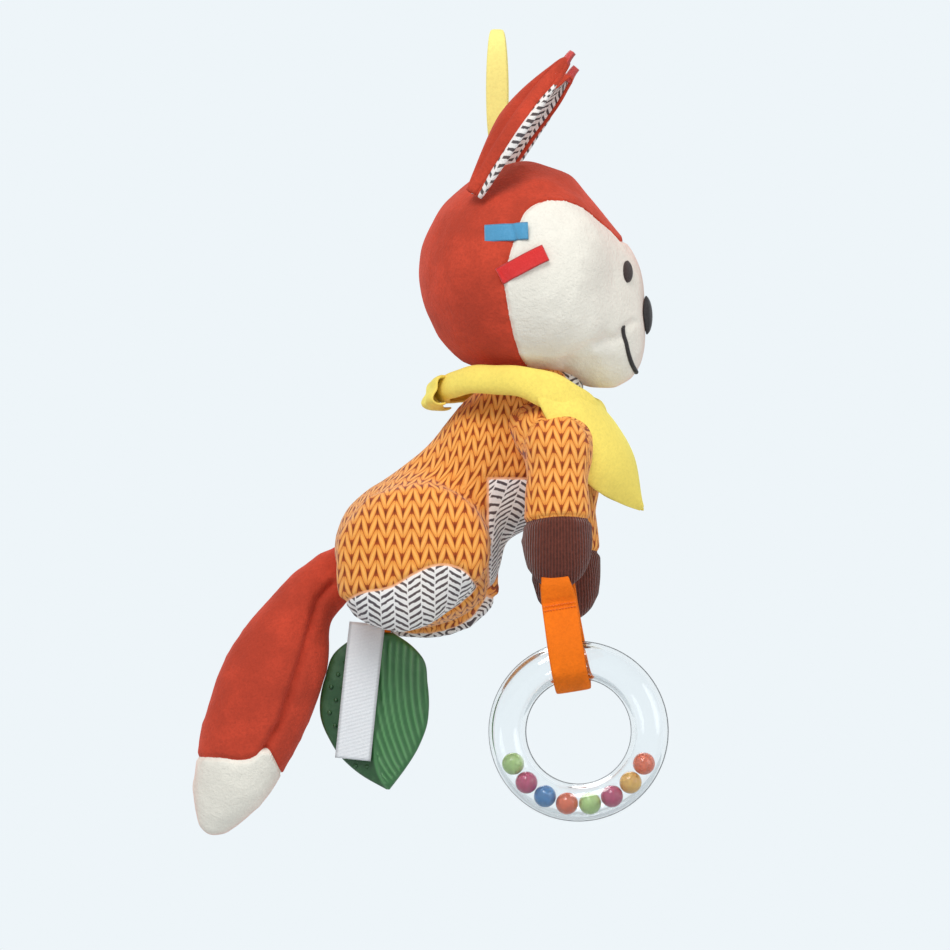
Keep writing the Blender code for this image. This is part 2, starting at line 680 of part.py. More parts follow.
def make_strap(neck):
    """A loop of tape from the paw round the ring's tube, and the ring hanging in it."""
    hole = RING_TUBE + STRAP_PLAY
    waist = [(hole * math.cos(math.radians(a)), hole * math.sin(math.radians(a)) - STRAP_LENGTH)
             for a in range(150, 391, 20)]
    narrow = THROAT_GAP / 2
    wide = narrow + THROAT_FLARE
    foot = -STRAP_THICK - THROAT_LENGTH
    throat = [(wide, foot), (narrow, -STRAP_THICK), (-narrow, -STRAP_THICK), (-wide, foot)]
    tilt = Matrix.Rotation(math.radians(-STRAP_TILT), 3, "Y")
    band("ring_strap", waist + throat, STRAP_WIDTH, STRAP_THICK, "strap_orange", strap_top(), neck, tilt)
    middle = RING_RADIUS - RING_TUBE
    hub = strap_top() + tilt @ Vector((0, 0, -STRAP_LENGTH))
    hub += Vector((RING_SLIDE, 0, -math.sqrt(middle**2 - RING_SLIDE**2)))
    for name, facing_side in (("ring_front_shell", 1), ("ring_rear_shell", -1)):
        make_ring_shell(name, hub, facing_side, neck)
    seat = RING_RADIUS - RING_WALL - BEAD_RADIUS - GAP * 2
    step = 2 * math.degrees(math.asin((BEAD_RADIUS + BEAD_GAP / 2) / seat))
    for index, colour in enumerate(BEAD_COLOURS):
        angle = -90 + (index - (BEAD_COUNT - 1) / 2) * step
        form = bmesh.new()
        bmesh.ops.create_uvsphere(form, u_segments=10, v_segments=7, radius=BEAD_RADIUS)
        name = "bead_" + str(index + 1)
        add(name, plain_mesh(name, form), "bead_" + colour, hub + slant(angle) * seat, neck)


def make_ring_shell(name, hub, facing_side, neck):
    """Half of the ring's tube: a C-shaped profile turned round the ring's axis."""
    middle = RING_RADIUS - RING_TUBE
    outer, inner = [], []
    for step in range(7):
        angle = math.radians(180 * step / 6)
        for radius, points in ((RING_TUBE, outer), (RING_TUBE - RING_WALL, inner)):
            lift = max(math.sin(angle) * radius, GAP / 2)
            points.append((middle - radius * math.cos(angle), lift))
    profile = outer + inner[::-1]
    form = bmesh.new()
    verts = [form.verts.new((x, 0, z)) for x, z in profile]
    for index, vert in enumerate(verts):
        form.edges.new((vert, verts[(index + 1) % len(verts)]))
    turn = Matrix.Rotation(math.radians(90 * facing_side), 3, "X")
    shell = add(name, plain_mesh(name, form), "clear_plastic", hub, neck, turn)
    spin = shell.modifiers.new("turned", "SCREW")
    spin.axis = "Z"
    spin.steps = spin.render_steps = 32
    spin.use_merge_vertices = True
    spin.merge_threshold = 0.00001


def make_seat_trims(neck):
    """The leaf teether on its ribbon and the care label, both from the seat seam."""
    seam = Vector((-TORSO_BACK + LEAF_AHEAD, 0, -TORSO_DROP - SEAT_DROP))
    turn = Matrix.Rotation(math.radians(LEAF_LEAN), 3, "Y")
    form = bmesh.new()
    bmesh.ops.create_cube(form, size=1.0)
    bmesh.ops.scale(form, vec=(RIBBON_WIDTH, RIBBON_THICK, RIBBON_LENGTH), verts=form.verts)
    add("teether_ribbon", plain_mesh("teether_ribbon", form), "strap_orange",
        seam - turn @ UP * RIBBON_LENGTH / 2, neck, turn)
    leaf_shape("leaf_teether", LEAF_LENGTH, LEAF_WIDTH, LEAF_THICK, "teether_green",
               seam - turn @ UP * (RIBBON_LENGTH + GAP), neck, turn)
    form = bmesh.new()
    bmesh.ops.create_cube(form, size=1.0)
    bmesh.ops.scale(form, vec=(LABEL_WIDTH, LABEL_THICK, LABEL_LENGTH), verts=form.verts)
    turn = Matrix.Rotation(math.radians(-LABEL_LEAN), 3, "Y")
    top = Vector((-TORSO_BACK + LABEL_AHEAD, -LEAF_THICK / 2 - LABEL_STANDOFF, -TORSO_DROP - LABEL_DROP))
    add("care_label", plain_mesh("care_label", form), "satin_white",
        top - turn @ UP * LABEL_LENGTH / 2, neck, turn)


def make_materials():
    made = {}
    for name, (colour, roughness) in MATERIALS.items():
        made[name] = bpy.data.materials.new(name)
        made[name].use_nodes = True
        shader = made[name].node_tree.nodes["Principled BSDF"]
        shader.inputs["Base Color"].default_value = (*colour, 1)
        shader.inputs["Roughness"].default_value = roughness
        shader.inputs["Metallic"].default_value = 0.0
    return made


def main():
    make_loop()
    place = head_place()
    make_head(place)
    make_ears(head_pod(), place)
    neck = bpy.data.objects.new("neck", None)
    toy.objects.link(neck)
    under = head_pod().surface(slant(NECK_UNDER))
    neck.location = place + under + Vector((-NECK_BACK, 0, -NECK_DROP))
    neck.rotation_euler = (0, 0, math.radians(TRUNK_TURN))
    make_torso(neck)
    make_haunches(neck)
    make_arms(neck)
    make_scarf(neck)
    make_tail(neck)
    make_strap(neck)
    make_seat_trims(neck)


for old in list(bpy.data.objects):
    bpy.data.objects.remove(old, do_unlink=True)
toy = bpy.data.collections.new("fox_rattle")
bpy.context.scene.collection.children.link(toy)
materials = make_materials()
main()
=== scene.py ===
"""Hanging fox rattle: cloth skins, embroidery, ribbons, leaf teether and clear bead ring.

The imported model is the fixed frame. Every size here is in metres, in the toy's own frame: +X is the
way the fox looks, its right side faces -Y, and the origin is the inside of the top of its loop.
"""
import json
import math

import bmesh
import bpy
import numpy as np
from mathutils import Matrix, Vector, noise
from mathutils.bvhtree import BVHTree


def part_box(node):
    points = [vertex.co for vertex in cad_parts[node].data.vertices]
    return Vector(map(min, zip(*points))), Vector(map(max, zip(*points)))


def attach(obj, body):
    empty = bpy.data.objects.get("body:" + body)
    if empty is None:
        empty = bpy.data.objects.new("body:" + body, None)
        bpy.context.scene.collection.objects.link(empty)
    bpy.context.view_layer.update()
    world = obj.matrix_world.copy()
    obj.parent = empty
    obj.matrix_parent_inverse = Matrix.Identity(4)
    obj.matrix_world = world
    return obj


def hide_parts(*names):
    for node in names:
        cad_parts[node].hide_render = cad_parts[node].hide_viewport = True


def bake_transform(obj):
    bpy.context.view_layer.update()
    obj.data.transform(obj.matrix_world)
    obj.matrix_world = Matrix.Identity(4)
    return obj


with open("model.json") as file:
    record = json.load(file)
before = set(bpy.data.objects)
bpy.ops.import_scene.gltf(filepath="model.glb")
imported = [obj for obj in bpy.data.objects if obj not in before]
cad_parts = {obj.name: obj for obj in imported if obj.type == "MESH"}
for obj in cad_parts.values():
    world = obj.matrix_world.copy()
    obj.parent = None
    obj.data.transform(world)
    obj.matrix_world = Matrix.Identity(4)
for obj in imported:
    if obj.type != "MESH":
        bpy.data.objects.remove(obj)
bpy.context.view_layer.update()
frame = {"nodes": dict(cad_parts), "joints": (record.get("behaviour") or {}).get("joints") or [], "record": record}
JOINTS = {joint["name"]: joint for joint in frame["joints"]}

bl_info = {
    "name": "Hanging Fox Rattle",
    "version": (1, 0, 0),
    "blender": (4, 5, 0),
    "location": "View3D > Sidebar > Fox Rattle",
    "description": "Builds the cloth, trims and rattle ring of a hanging plush fox",
    "category": "Object",
}

# Places that the frame fixes
SIDES = {"right": -1, "left": 1}
NECK = Vector(JOINTS["neck_turn"]["pos_m"])
RIGHTWARD = -Vector(JOINTS["tail_swing"]["axis"]).normalized()     # out of the trunk's right side
AHEAD = RIGHTWARD.cross(Vector((0, 0, -1))).normalized()           # the way the trunk faces
UP = Vector((0, 0, 1))
HEAD_CENTRE = Vector((0.0130, 0, -0.0884))

# Head: where the cream face meets the hood, as degrees from its pole by the turn round it
FACE_TILT = -15.0
FACE_PEAK = 35.0
FACE_CHEEK = 66.0
FACE_TURN = 44.0
FACE_TURN_SPREAD = 5.0
FACE_JAW = 33.0

# Trunk: side view of the printed panels' edges, as (along, height) points
SOLE_TOP = [(-0.070, -0.2130), (-0.059, -0.2110), (-0.048, -0.2062), (-0.037, -0.2040), (-0.0287, -0.1993),
            (-0.0229, -0.1968), (-0.0152, -0.1966), (-0.0094, -0.1997), (-0.0065, -0.2037), (0.000, -0.2062),
            (0.010, -0.2080)]
HAUNCH_FOOT = [(-0.0660, -0.2140), (-0.0580, -0.2190), (-0.0390, -0.2215), (-0.0240, -0.2190), (-0.0160, -0.2150),
               (-0.0070, -0.2095), (-0.0010, -0.2050), (0.0040, -0.2020)]
SOLE_INNER = {"right": 0.0150, "left": 0.0225}     # inner edge of a sole from the mid-plane
CHEST_HALF_WIDTH = 0.0105      # half of the printed strip down the chest
CHEST_BACK = 0.0150            # how far back that strip reaches
BELLY_TOP = -0.1640
BELLY_BACK = -0.0030

# Tail: its lengthwise fold and the edge of its cream tip, in side view
TAIL_FOLD = [(-0.0600, -0.2020), (-0.0648, -0.2077), (-0.0706, -0.2292), (-0.0783, -0.2522), (-0.0838, -0.2617)]
TIP_EDGE = [(-0.120, -0.2635), (-0.102, -0.2652), (-0.0880, -0.2648), (-0.0838, -0.2617), (-0.0783, -0.2716),
            (-0.070, -0.2850)]

# Leaf: half its width and its middle line's drift, by the share of its length from the stalk
LEAF_HALF = [(0.0, 0.0045), (0.06, 0.0105), (0.13, 0.0152), (0.31, 0.0188), (0.47, 0.0200), (0.575, 0.0195),
             (0.69, 0.0170), (0.84, 0.0115), (0.93, 0.0062), (1.0, 0.0006)]
LEAF_DRIFT = [(0.0, 0.0), (0.70, 0.0004), (0.85, 0.0018), (0.93, 0.0037), (1.0, 0.0066)]

# Ring: its hollow tube
TUBE_RADIUS = 0.00675
TUBE_WALL = 0.00150

# Scarf: its top and bottom edges by the cosine of the turn from the front
SCARF_TOP = [(-1.0, -0.1268), (-0.84, -0.1255), (-0.32, -0.1235), (0.09, -0.1243), (0.37, -0.1258),
             (0.64, -0.1286), (0.92, -0.1330), (1.0, -0.1352)]
SCARF_LOW = [(-1.0, -0.1352), (-0.84, -0.1345), (-0.20, -0.1335), (0.09, -0.1350), (0.37, -0.1392),
             (0.64, -0.1428), (0.92, -0.1462), (1.0, -0.1480)]


# Settings a user would change

class FOX_PG_prints(bpy.types.PropertyGroup):
    """Sizes of the printed patterns and of the sewing."""
    stitch_width: bpy.props.FloatProperty(
        name="Knit Column", description="Width of one column of the knit print", default=0.0064, unit="LENGTH")
    stitch_pitch: bpy.props.FloatProperty(
        name="Knit Row", description="Height of one row of the knit print", default=0.0057, unit="LENGTH")
    dash_column: bpy.props.FloatProperty(
        name="Dash Column", description="Width of one column of the herringbone", default=0.0050, unit="LENGTH")
    dash_pitch: bpy.props.FloatProperty(
        name="Dash Row", description="Height from one dash to the next", default=0.0026, unit="LENGTH")
    thread: bpy.props.FloatProperty(
        name="Thread", description="Thickness of the embroidery thread", default=0.00052, unit="LENGTH")
    seam_depth: bpy.props.FloatProperty(
        name="Seam Depth", description="How deep a seam sinks in the cloth", default=0.0009, unit="LENGTH")


class FOX_PG_stuffing(bpy.types.PropertyGroup):
    """How the stuffed skins are made."""
    voxel: bpy.props.FloatProperty(
        name="Voxel", description="Size of the remeshed cloth's cells", default=0.0030, unit="LENGTH")
    pressure: bpy.props.FloatProperty(
        name="Pressure", description="How hard the stuffing pushes", default=4.0)
    swell: bpy.props.FloatProperty(
        name="Swell", description="Most that the cloth may move when it is stuffed", default=0.0014, unit="LENGTH")
    frames: bpy.props.IntProperty(
        name="Frames", description="Length of the stuffing simulation", default=20)


def colour_property(name, words, value):
    return bpy.props.FloatVectorProperty(name=name, description=words, subtype="COLOR", size=3, default=value)


class FOX_PG_colours(bpy.types.PropertyGroup):
    """Colours of the cloths and trims."""
    hood: colour_property("Hood", "Red velour of the hood, ears and tail", (0.60, 0.062, 0.028))
    cream: colour_property("Cream", "Cream velour of the face and tail tip", (0.88, 0.83, 0.73))
    knit: colour_property("Knit", "Orange of the knit print", (0.93, 0.335, 0.060))
    knit_line: colour_property("Knit Line", "Outlines of the knit print", (0.30, 0.055, 0.008))
    dash_ground: colour_property("Dash Ground", "Ground of the herringbone", (0.86, 0.82, 0.80))
    dash: colour_property("Dash", "Dashes of the herringbone", (0.045, 0.030, 0.040))
    brown: colour_property("Paws", "Brown ribbed velour of the paws", (0.115, 0.027, 0.016))
    yellow: colour_property("Scarf", "Yellow of the scarf", (0.97, 0.75, 0.15))
    orange: colour_property("Strap", "Orange of the strap", (0.97, 0.19, 0.004))
    # Painted highlight: pale peach painted along the edges of the printed panels, standing in for light catching the
    # seams
    seam_highlight: colour_property("Seam Highlight", "Turned edge of the soles", (0.92, 0.46, 0.25))
    leaf: colour_property("Leaf", "Green silicone of the teether", (0.043, 0.185, 0.054))


# Cloth and plastic finishes

def finish(name, colour, roughness, sheen=0.0, specular=0.5, coat=0.0):
    """A material whose even values stand on the shader's own sockets."""
    material = bpy.data.materials.new(name)
    material.use_nodes = True
    shader = material.node_tree.nodes["Principled BSDF"]
    shader.inputs["Base Color"].default_value = (*colour, 1)
    shader.inputs["Roughness"].default_value = roughness
    shader.inputs["Specular IOR Level"].default_value = specular
    shader.inputs["Sheen Weight"].default_value = sheen
    shader.inputs["Sheen Roughness"].default_value = 0.45
    shader.inputs["Coat Weight"].default_value = coat
    return material, material.node_tree, shader


class Wiring:
    """Short ways to add the nodes of one material."""

    def __init__(self, tree):
        self.tree = tree

    def node(self, kind, **settings):
        made = self.tree.nodes.new(kind)
        for key, value in settings.items():
            setattr(made, key, value)
        return made

    def link(self, source, target):
        self.tree.links.new(source, target)

    def math(self, operation, first, second=None, third=None):
        made = self.node("ShaderNodeMath", operation=operation)
        for socket, value in zip(made.inputs, (first, second, third)):
            if isinstance(value, (int, float)):
                socket.default_value = value
            elif value is not None:
                self.link(value, socket)
        return made.outputs[0]

    def place(self, scale=(1, 1, 1)):
        """Object coordinates, scaled."""
        mapping = self.node("ShaderNodeMapping")
        mapping.inputs["Scale"].default_value = scale
        self.link(self.node("ShaderNodeTexCoord").outputs["Object"], mapping.inputs["Vector"])
        return mapping.outputs["Vector"]

    def uv(self, layer):
        """The two coordinates of a cloth panel, in metres."""
        split = self.node("ShaderNodeSeparateXYZ")
        self.link(self.node("ShaderNodeUVMap", uv_map=layer).outputs["UV"], split.inputs[0])
        return split.outputs["X"], split.outputs["Y"]

    def field(self, name):
        return self.node("ShaderNodeAttribute", attribute_name=name).outputs["Fac"]

    def noise(self, vector, scale, detail=2.0, rough=0.5):
        made = self.node("ShaderNodeTexNoise")
        made.inputs["Scale"].default_value = scale
        made.inputs["Detail"].default_value = detail
        made.inputs["Roughness"].default_value = rough
        self.link(vector, made.inputs["Vector"])
        return made.outputs["Fac"]

    def ramp(self, value, low, high, start=0.0, end=1.0):
        """The value, taken smoothly from start to end as it goes from low to high."""
        made = self.node("ShaderNodeMapRange", interpolation_type="SMOOTHSTEP")
        for socket, number in zip(("From Min", "From Max", "To Min", "To Max"), (low, high, start, end)):
            made.inputs[socket].default_value = number
        self.link(value, made.inputs["Value"])
        return made.outputs["Result"]

    def blend(self, share, first, second, how="MIX"):
        made = self.node("ShaderNodeMix", data_type="RGBA", blend_type=how)
        for socket, value in zip((made.inputs[0], made.inputs[6], made.inputs[7]), (share, first, second)):
            if isinstance(value, float):
                socket.default_value = value
            elif isinstance(value, bpy.types.NodeSocket):
                self.link(value, socket)
            else:
                socket.default_value = (*value[:3], 1)
        return made.outputs[2]

    def bump(self, shader, height, distance, strength=1.0):
        made = self.node("ShaderNodeBump")
        made.inputs["Strength"].default_value = strength
        made.inputs["Distance"].default_value = distance
        self.link(height, made.inputs["Height"])
        self.link(made.outputs["Normal"], shader.inputs["Normal"])


def shaded(colour, factor):
    return tuple(channel * factor for channel in colour[:3])


def velour(name, colour, depth=0.62, pile=0.00035):
    """Short plush: soft patches where the pile lies over, and a fine nap."""
    material, tree, shader = finish(name, colour, 0.86, sheen=0.55, specular=0.25)
    shader.inputs["Sheen Tint"].default_value = (*[min(1.0, channel * 1.25 + 0.1) for channel in colour], 1)
    wires = Wiring(tree)
    place = wires.place()
    patches = wires.ramp(wires.noise(place, 55, 3.0, 0.6), 0.32, 0.70)
    nap = wires.noise(place, 900, 2.0, 0.7)
    tone = wires.blend(patches, shaded(colour, depth + 0.16), shaded(colour, 1.10))
    tone = wires.blend(wires.ramp(nap, 0.35, 0.72, 0.0, 0.4), tone, shaded(colour, depth))
    wires.link(tone, shader.inputs["Base Color"])
    height = wires.math("ADD", nap, wires.math("MULTIPLY", wires.noise(place, 260, 3.0, 0.6), 0.8))
    wires.bump(shader, height, pile)
    return material, wires, shader, tone, height


def knit_tone(wires, across, along, prints, colours):
    """Columns of leaf-shaped stitches with dark outlines, as colour and height."""
    half = prints.stitch_width / 2
    column = wires.math("DIVIDE", across, half)
    cell = wires.math("FLOOR", column)
    odd = wires.math("ABSOLUTE", wires.math("MODULO", cell, 2.0))
    inside = wires.math("FRACT", column)
    outward = wires.math("ABSOLUTE", wires.math("SUBTRACT", inside, odd))
    lifted = wires.math("SUBTRACT", wires.math("DIVIDE", along, prints.stitch_pitch),
                        wires.math("MULTIPLY", outward, 1.25))
    row = wires.math("FRACT", lifted)
    off = wires.math("MULTIPLY", wires.math("ABSOLUTE", wires.math("SUBTRACT", row, 0.5)), 2.0)
    swell = wires.math("MULTIPLY", wires.math("MULTIPLY", outward, wires.math("SUBTRACT", 1.0, outward)), 4.0)
    leaf = wires.math("SUBTRACT", wires.math("POWER", swell, 0.42), off)
    fill = wires.ramp(leaf, 0.02, 0.11)
    shade = wires.ramp(leaf, 0.15, 0.95)
    deep = wires.blend(wires.ramp(leaf, -0.6, 0.1), shaded(colours.knit_line, 0.55), shaded(colours.knit_line, 1.3))
    body = wires.blend(shade, shaded(colours.knit, 0.90), (0.98, 0.46, 0.120))
    return wires.blend(fill, deep, body), fill


def dash_tone(wires, across, along, prints, colours, jitter):
    """Herringbone of broken dark dashes on a pale ground."""
    column = wires.math("DIVIDE", across, prints.dash_column)
    cell = wires.math("FLOOR", column)
    odd = wires.math("ABSOLUTE", wires.math("MODULO", cell, 2.0))
    inside = wires.math("SUBTRACT", wires.math("FRACT", column), 0.5)
    way = wires.math("SUBTRACT", wires.math("MULTIPLY", odd, 2.0), 1.0)
    slope = wires.math("MULTIPLY", wires.math("MULTIPLY", inside, way), 1.15)
    row = wires.math("ADD", wires.math("DIVIDE", along, prints.dash_pitch), slope)
    row = wires.math("ADD", row, wires.math("MULTIPLY", odd, 0.4))
    row = wires.math("ADD", row, wires.math("MULTIPLY", wires.math("SUBTRACT", jitter, 0.5), 0.45))
    off = wires.math("ABSOLUTE", wires.math("SUBTRACT", wires.math("FRACT", row), 0.5))
    width = wires.math("ADD", 0.13, wires.math("MULTIPLY", jitter, 0.17))
    bar = wires.ramp(wires.math("SUBTRACT", width, off), -0.03, 0.05)
    ends = wires.ramp(wires.math("ABSOLUTE", inside), 0.43, 0.48, 1.0, 0.0)
    ink = wires.math("MULTIPLY", wires.math("MULTIPLY", bar, ends), 0.94)
    return wires.blend(ink, colours.dash_ground, colours.dash), ink


def printed_cloth(name, prints, colours, sole="herringbone", seam_highlight=True):
    """Brushed cotton: knit print where its field is below zero, herringbone where it is above; where asked, a painted
    highlight in pale peach along the edges between them.
    """
    material, tree, shader = finish(name, colours.knit, 0.82, sheen=0.25, specular=0.25)
    wires = Wiring(tree)
    across, along = wires.uv("cloth")
    place = wires.place()
    drift = wires.math("MULTIPLY", wires.math("SUBTRACT", wires.noise(place, 90, 1.0), 0.5), 0.0012)
    knit, stitch = knit_tone(wires, wires.math("ADD", across, drift), wires.math("ADD", along, drift),
                             prints, colours)
    dash, ink = dash_tone(wires, across, along, prints, colours, wires.noise(place, 420, 2.0))
    edge = wires.field("print_edge")
    tone = wires.blend(wires.ramp(edge, -0.0001, 0.0001), knit, dash)
    # Painted highlight: the colour turns pale peach along the edges of the print, where light catches the seams
    if seam_highlight:
        near = wires.ramp(wires.math("ABSOLUTE", edge), 0.0003, 0.0006, 1.0, 0.0)
        tone = wires.blend(wires.math("MULTIPLY", near, 0.85), tone, colours.seam_highlight)
    worn = wires.ramp(wires.noise(place, 60, 3.0, 0.6), 0.3, 0.72)
    tone = wires.blend(wires.math("MULTIPLY", worn, 0.22), tone, (1.0, 0.55, 0.16), "SOFT_LIGHT")
    wires.link(tone, shader.inputs["Base Color"])
    weave = wires.noise(place, 1400, 2.0, 0.6)
    wires.bump(shader, wires.math("ADD", weave, wires.math("MULTIPLY", stitch, 0.25)), 0.00022)
    return material


def tipped_velour(name, colour, tip, field):
    """Velour of one colour where the field is below zero and of another above."""
    material, wires, shader, tone, height = velour(name, colour)
    place = wires.place()
    nap = wires.noise(place, 900, 2.0, 0.7)
    soft = wires.blend(wires.ramp(wires.noise(place, 45, 3.0, 0.6), 0.3, 0.7), shaded(tip, 0.93), shaded(tip, 1.05))
    soft = wires.blend(wires.ramp(nap, 0.35, 0.75, 0.0, 0.3), soft, shaded(tip, 0.84))
    share = wires.ramp(wires.math("ADD", wires.field(field), wires.math("MULTIPLY", wires.math(
        "SUBTRACT", nap, 0.5), 0.0006)), -0.00012, 0.00012)
    wires.link(wires.blend(share, tone, soft), shader.inputs["Base Color"])
    return material


def ribbed_velour(name, colour):
    """Brown velour with fine ribs running down the paw, and painted shade in the rib grooves."""
    material, wires, shader, tone, height = velour(name, colour, depth=0.55)
    across, along = wires.uv("cloth")
    rib = wires.math("SINE", wires.math("MULTIPLY", across, 2 * math.pi / 0.0011))
    rib = wires.math("MULTIPLY_ADD", rib, 0.5, 0.5)
    # Painted shade: the rib grooves are painted darker, following the ribs' bump
    wires.link(wires.blend(wires.math("MULTIPLY", rib, 0.55), shaded(colour, 0.55), tone),
               shader.inputs["Base Color"])
    wires.bump(shader, wires.math("ADD", height, wires.math("MULTIPLY", rib, 1.6)), 0.00028)
    return material


def arm_cloth(name, prints, colours):
    """Knit print above the cuff, ribbed brown velour below it, with painted shade in the rib grooves and painted light
    on the rib tops.
    """
    material = printed_cloth(name, prints, colours, seam_highlight=False)
    shader = material.node_tree.nodes["Principled BSDF"]
    wires = Wiring(material.node_tree)
    print_tone = shader.inputs["Base Color"].links[0].from_socket
    across, along = wires.uv("cloth")
    place = wires.place()
    rib = wires.math("MULTIPLY_ADD", wires.math("SINE", wires.math("MULTIPLY", across, 2 * math.pi / 0.0012)),
                     0.5, 0.5)
    nap = wires.noise(place, 900, 2.0, 0.7)
    # Painted shade and light: the rib grooves are painted darker and the rib tops lighter, following the ribs' bump
    brown = wires.blend(rib, shaded(colours.brown, 0.55), shaded(colours.brown, 1.3))
    brown = wires.blend(wires.ramp(nap, 0.3, 0.75, 0.0, 0.5), brown, shaded(colours.brown, 1.9))
    share = wires.ramp(wires.field("cuff"), -0.00012, 0.00012)
    wires.link(wires.blend(share, print_tone, brown), shader.inputs["Base Color"])
    height = wires.math("ADD", nap, wires.math("MULTIPLY", wires.math("MULTIPLY", rib, share), 1.2))
    wires.bump(shader, height, 0.00028)
    return material


def satin(name, colour, roughness=0.36, rib=0.00042, axis=(1, 1, 1)):
    """Woven ribbon: fine cross ribs and a silky gloss."""
    material, tree, shader = finish(name, colour, roughness, sheen=0.3, specular=0.55)
    wires = Wiring(tree)
    across, along = wires.uv("cloth")
    ribs = wires.math("MULTIPLY_ADD", wires.math("SINE", wires.math("MULTIPLY", along, 2 * math.pi / rib)), 0.5, 0.5)
    warp = wires.noise(wires.place(), 1500, 2.0, 0.6)
    edge = wires.ramp(wires.field("selvedge"), 0.80, 0.95)
    tone = wires.blend(wires.math("MULTIPLY", ribs, 0.35), colour, shaded(colour, 0.72))
    tone = wires.blend(wires.ramp(warp, 0.35, 0.8, 0.0, 0.35), tone, [min(1, c * 1.2 + 0.05) for c in colour])
    tone = wires.blend(wires.math("MULTIPLY", edge, 0.55), tone, shaded(colour, 0.35))
    wires.link(tone, shader.inputs["Base Color"])
    wires.bump(shader, wires.math("ADD", ribs, warp), 0.00012)
    return material


def thread_finish(name, colour):
    """Glossy embroidery thread."""
    material, tree, shader = finish(name, colour, 0.42, sheen=0.2, specular=0.5)
    wires = Wiring(tree)
    twist = wires.noise(wires.place(), 2600, 2.0, 0.6)
    wires.link(wires.blend(wires.ramp(twist, 0.3, 0.75), shaded(colour, 0.7), [c * 1.5 + 0.01 for c in colour]),
               shader.inputs["Base Color"])
    wires.bump(shader, twist, 0.0001)
    return material


def fibre(name):
    material, tree, shader = finish(name, (0.85, 0.85, 0.84), 0.95, sheen=0.3, specular=0.2)
    wires = Wiring(tree)
    fluff = wires.noise(wires.place(), 400, 6.0, 0.7)
    wires.link(wires.blend(wires.ramp(fluff, 0.3, 0.7), (0.72, 0.72, 0.70), (0.92, 0.92, 0.91)),
               shader.inputs["Base Color"])
    wires.bump(shader, fluff, 0.0008)
    return material


def film(name):
    material, tree, shader = finish(name, (0.80, 0.82, 0.85), 0.22, specular=0.6)
    wires = Wiring(tree)
    crinkle = wires.noise(wires.place(), 240, 5.0, 0.8)
    wires.link(wires.blend(crinkle, (0.70, 0.73, 0.78), (0.90, 0.92, 0.95)), shader.inputs["Base Color"])
    wires.bump(shader, crinkle, 0.0006)
    return material


def silicone(name, colour):
    """Semi-gloss rubber: a painted highlight, paler, on the raised parts, and darker on the nubbed half."""
    material, tree, shader = finish(name, colour, 0.34, specular=0.5, coat=0.12)
    shader.inputs["Subsurface Weight"].default_value = 0.06
    shader.inputs["Subsurface Radius"].default_value = (0.001, 0.003, 0.001)
    wires = Wiring(tree)
    height = wires.field("relief")
    half = wires.ramp(wires.field("nubbed"), -0.0006, 0.0006)
    # Painted highlight: the raised ridges, middle rib and nubs are painted paler by their relief height
    tone = wires.blend(wires.ramp(height, 0.0, 1.0), shaded(colour, 0.80), (0.105, 0.30, 0.105))
    tone = wires.blend(half, tone, shaded(colour, 0.42))
    haze = wires.noise(wires.place(), 180, 4.0, 0.65)
    tone = wires.blend(wires.ramp(haze, 0.4, 0.8, 0.0, 0.16), tone, (0.20, 0.34, 0.18))
    wires.link(tone, shader.inputs["Base Color"])
    wires.link(wires.ramp(haze, 0.3, 0.8, 0.30, 0.46), shader.inputs["Roughness"])
    wires.bump(shader, wires.noise(wires.place(), 2200, 2.0), 0.00003)
    return material


def clear_plastic(name):
    """Clear moulded plastic with faint flow marks."""
    material, tree, shader = finish(name, (0.97, 0.985, 0.99), 0.03, specular=0.5)
    shader.inputs["Transmission Weight"].default_value = 1.0
    shader.inputs["IOR"].default_value = 1.46
    wires = Wiring(tree)
    flow = wires.noise(wires.place((1, 3, 1)), 60, 2.0)
    wires.link(wires.ramp(flow, 0.3, 0.8, 0.015, 0.06), shader.inputs["Roughness"])
    return material


def bead_gloss(name, colour):
    """Moulded bead: slightly uneven colour under a gloss."""
    material, tree, shader = finish(name, colour, 0.24, specular=0.5, coat=0.35)
    shader.inputs["Subsurface Weight"].default_value = 0.12
    shader.inputs["Subsurface Radius"].default_value = (0.002, 0.0015, 0.001)
    wires = Wiring(tree)
    swirl = wires.noise(wires.place(), 160, 3.0, 0.6)
    wires.link(wires.blend(wires.ramp(swirl, 0.3, 0.75), shaded(colour, 0.84), [min(1, c * 1.12) for c in colour]),
               shader.inputs["Base Color"])
    wires.bump(shader, wires.noise(wires.place(), 1200, 1.0), 0.00002)
    return material


# Mesh building

def piece(name, mesh, material, body, nodes=()):
    """Adds a finished mesh to the toy and says what it rides on and stands for."""
    made = mesh if isinstance(mesh, bpy.types.Object) else bpy.data.objects.new(name, mesh)
    made.name = name
    if not made.users_collection:
        bpy.context.scene.collection.objects.link(made)
    made.data.materials.clear()
    made.data.materials.append(material)
    if body:
        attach(made, body)
    if nodes:
        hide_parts(*nodes)
    return made


def to_mesh(name, form, smooth=True):
    mesh = bpy.data.meshes.new(name)
    form.to_mesh(mesh)
    form.free()
    if smooth:
        mesh.shade_smooth()
    return mesh


def finished(item):
    """The object with its modifiers worked in, as a plain mesh."""
    bpy.context.view_layer.update()
    graph = bpy.context.evaluated_depsgraph_get()
    mesh = bpy.data.meshes.new_from_object(item.evaluated_get(graph))
    item.modifiers.clear()
    old = item.data
    item.data = mesh
    bpy.data.meshes.remove(old)
    return item


def in_scene(name, mesh):
    item = bpy.data.objects.new(name, mesh)
    bpy.context.scene.collection.objects.link(item)
    return item


def spots(mesh):
    flat = np.empty(len(mesh.vertices) * 3)
    mesh.vertices.foreach_get("co", flat)
    return flat.reshape(-1, 3)


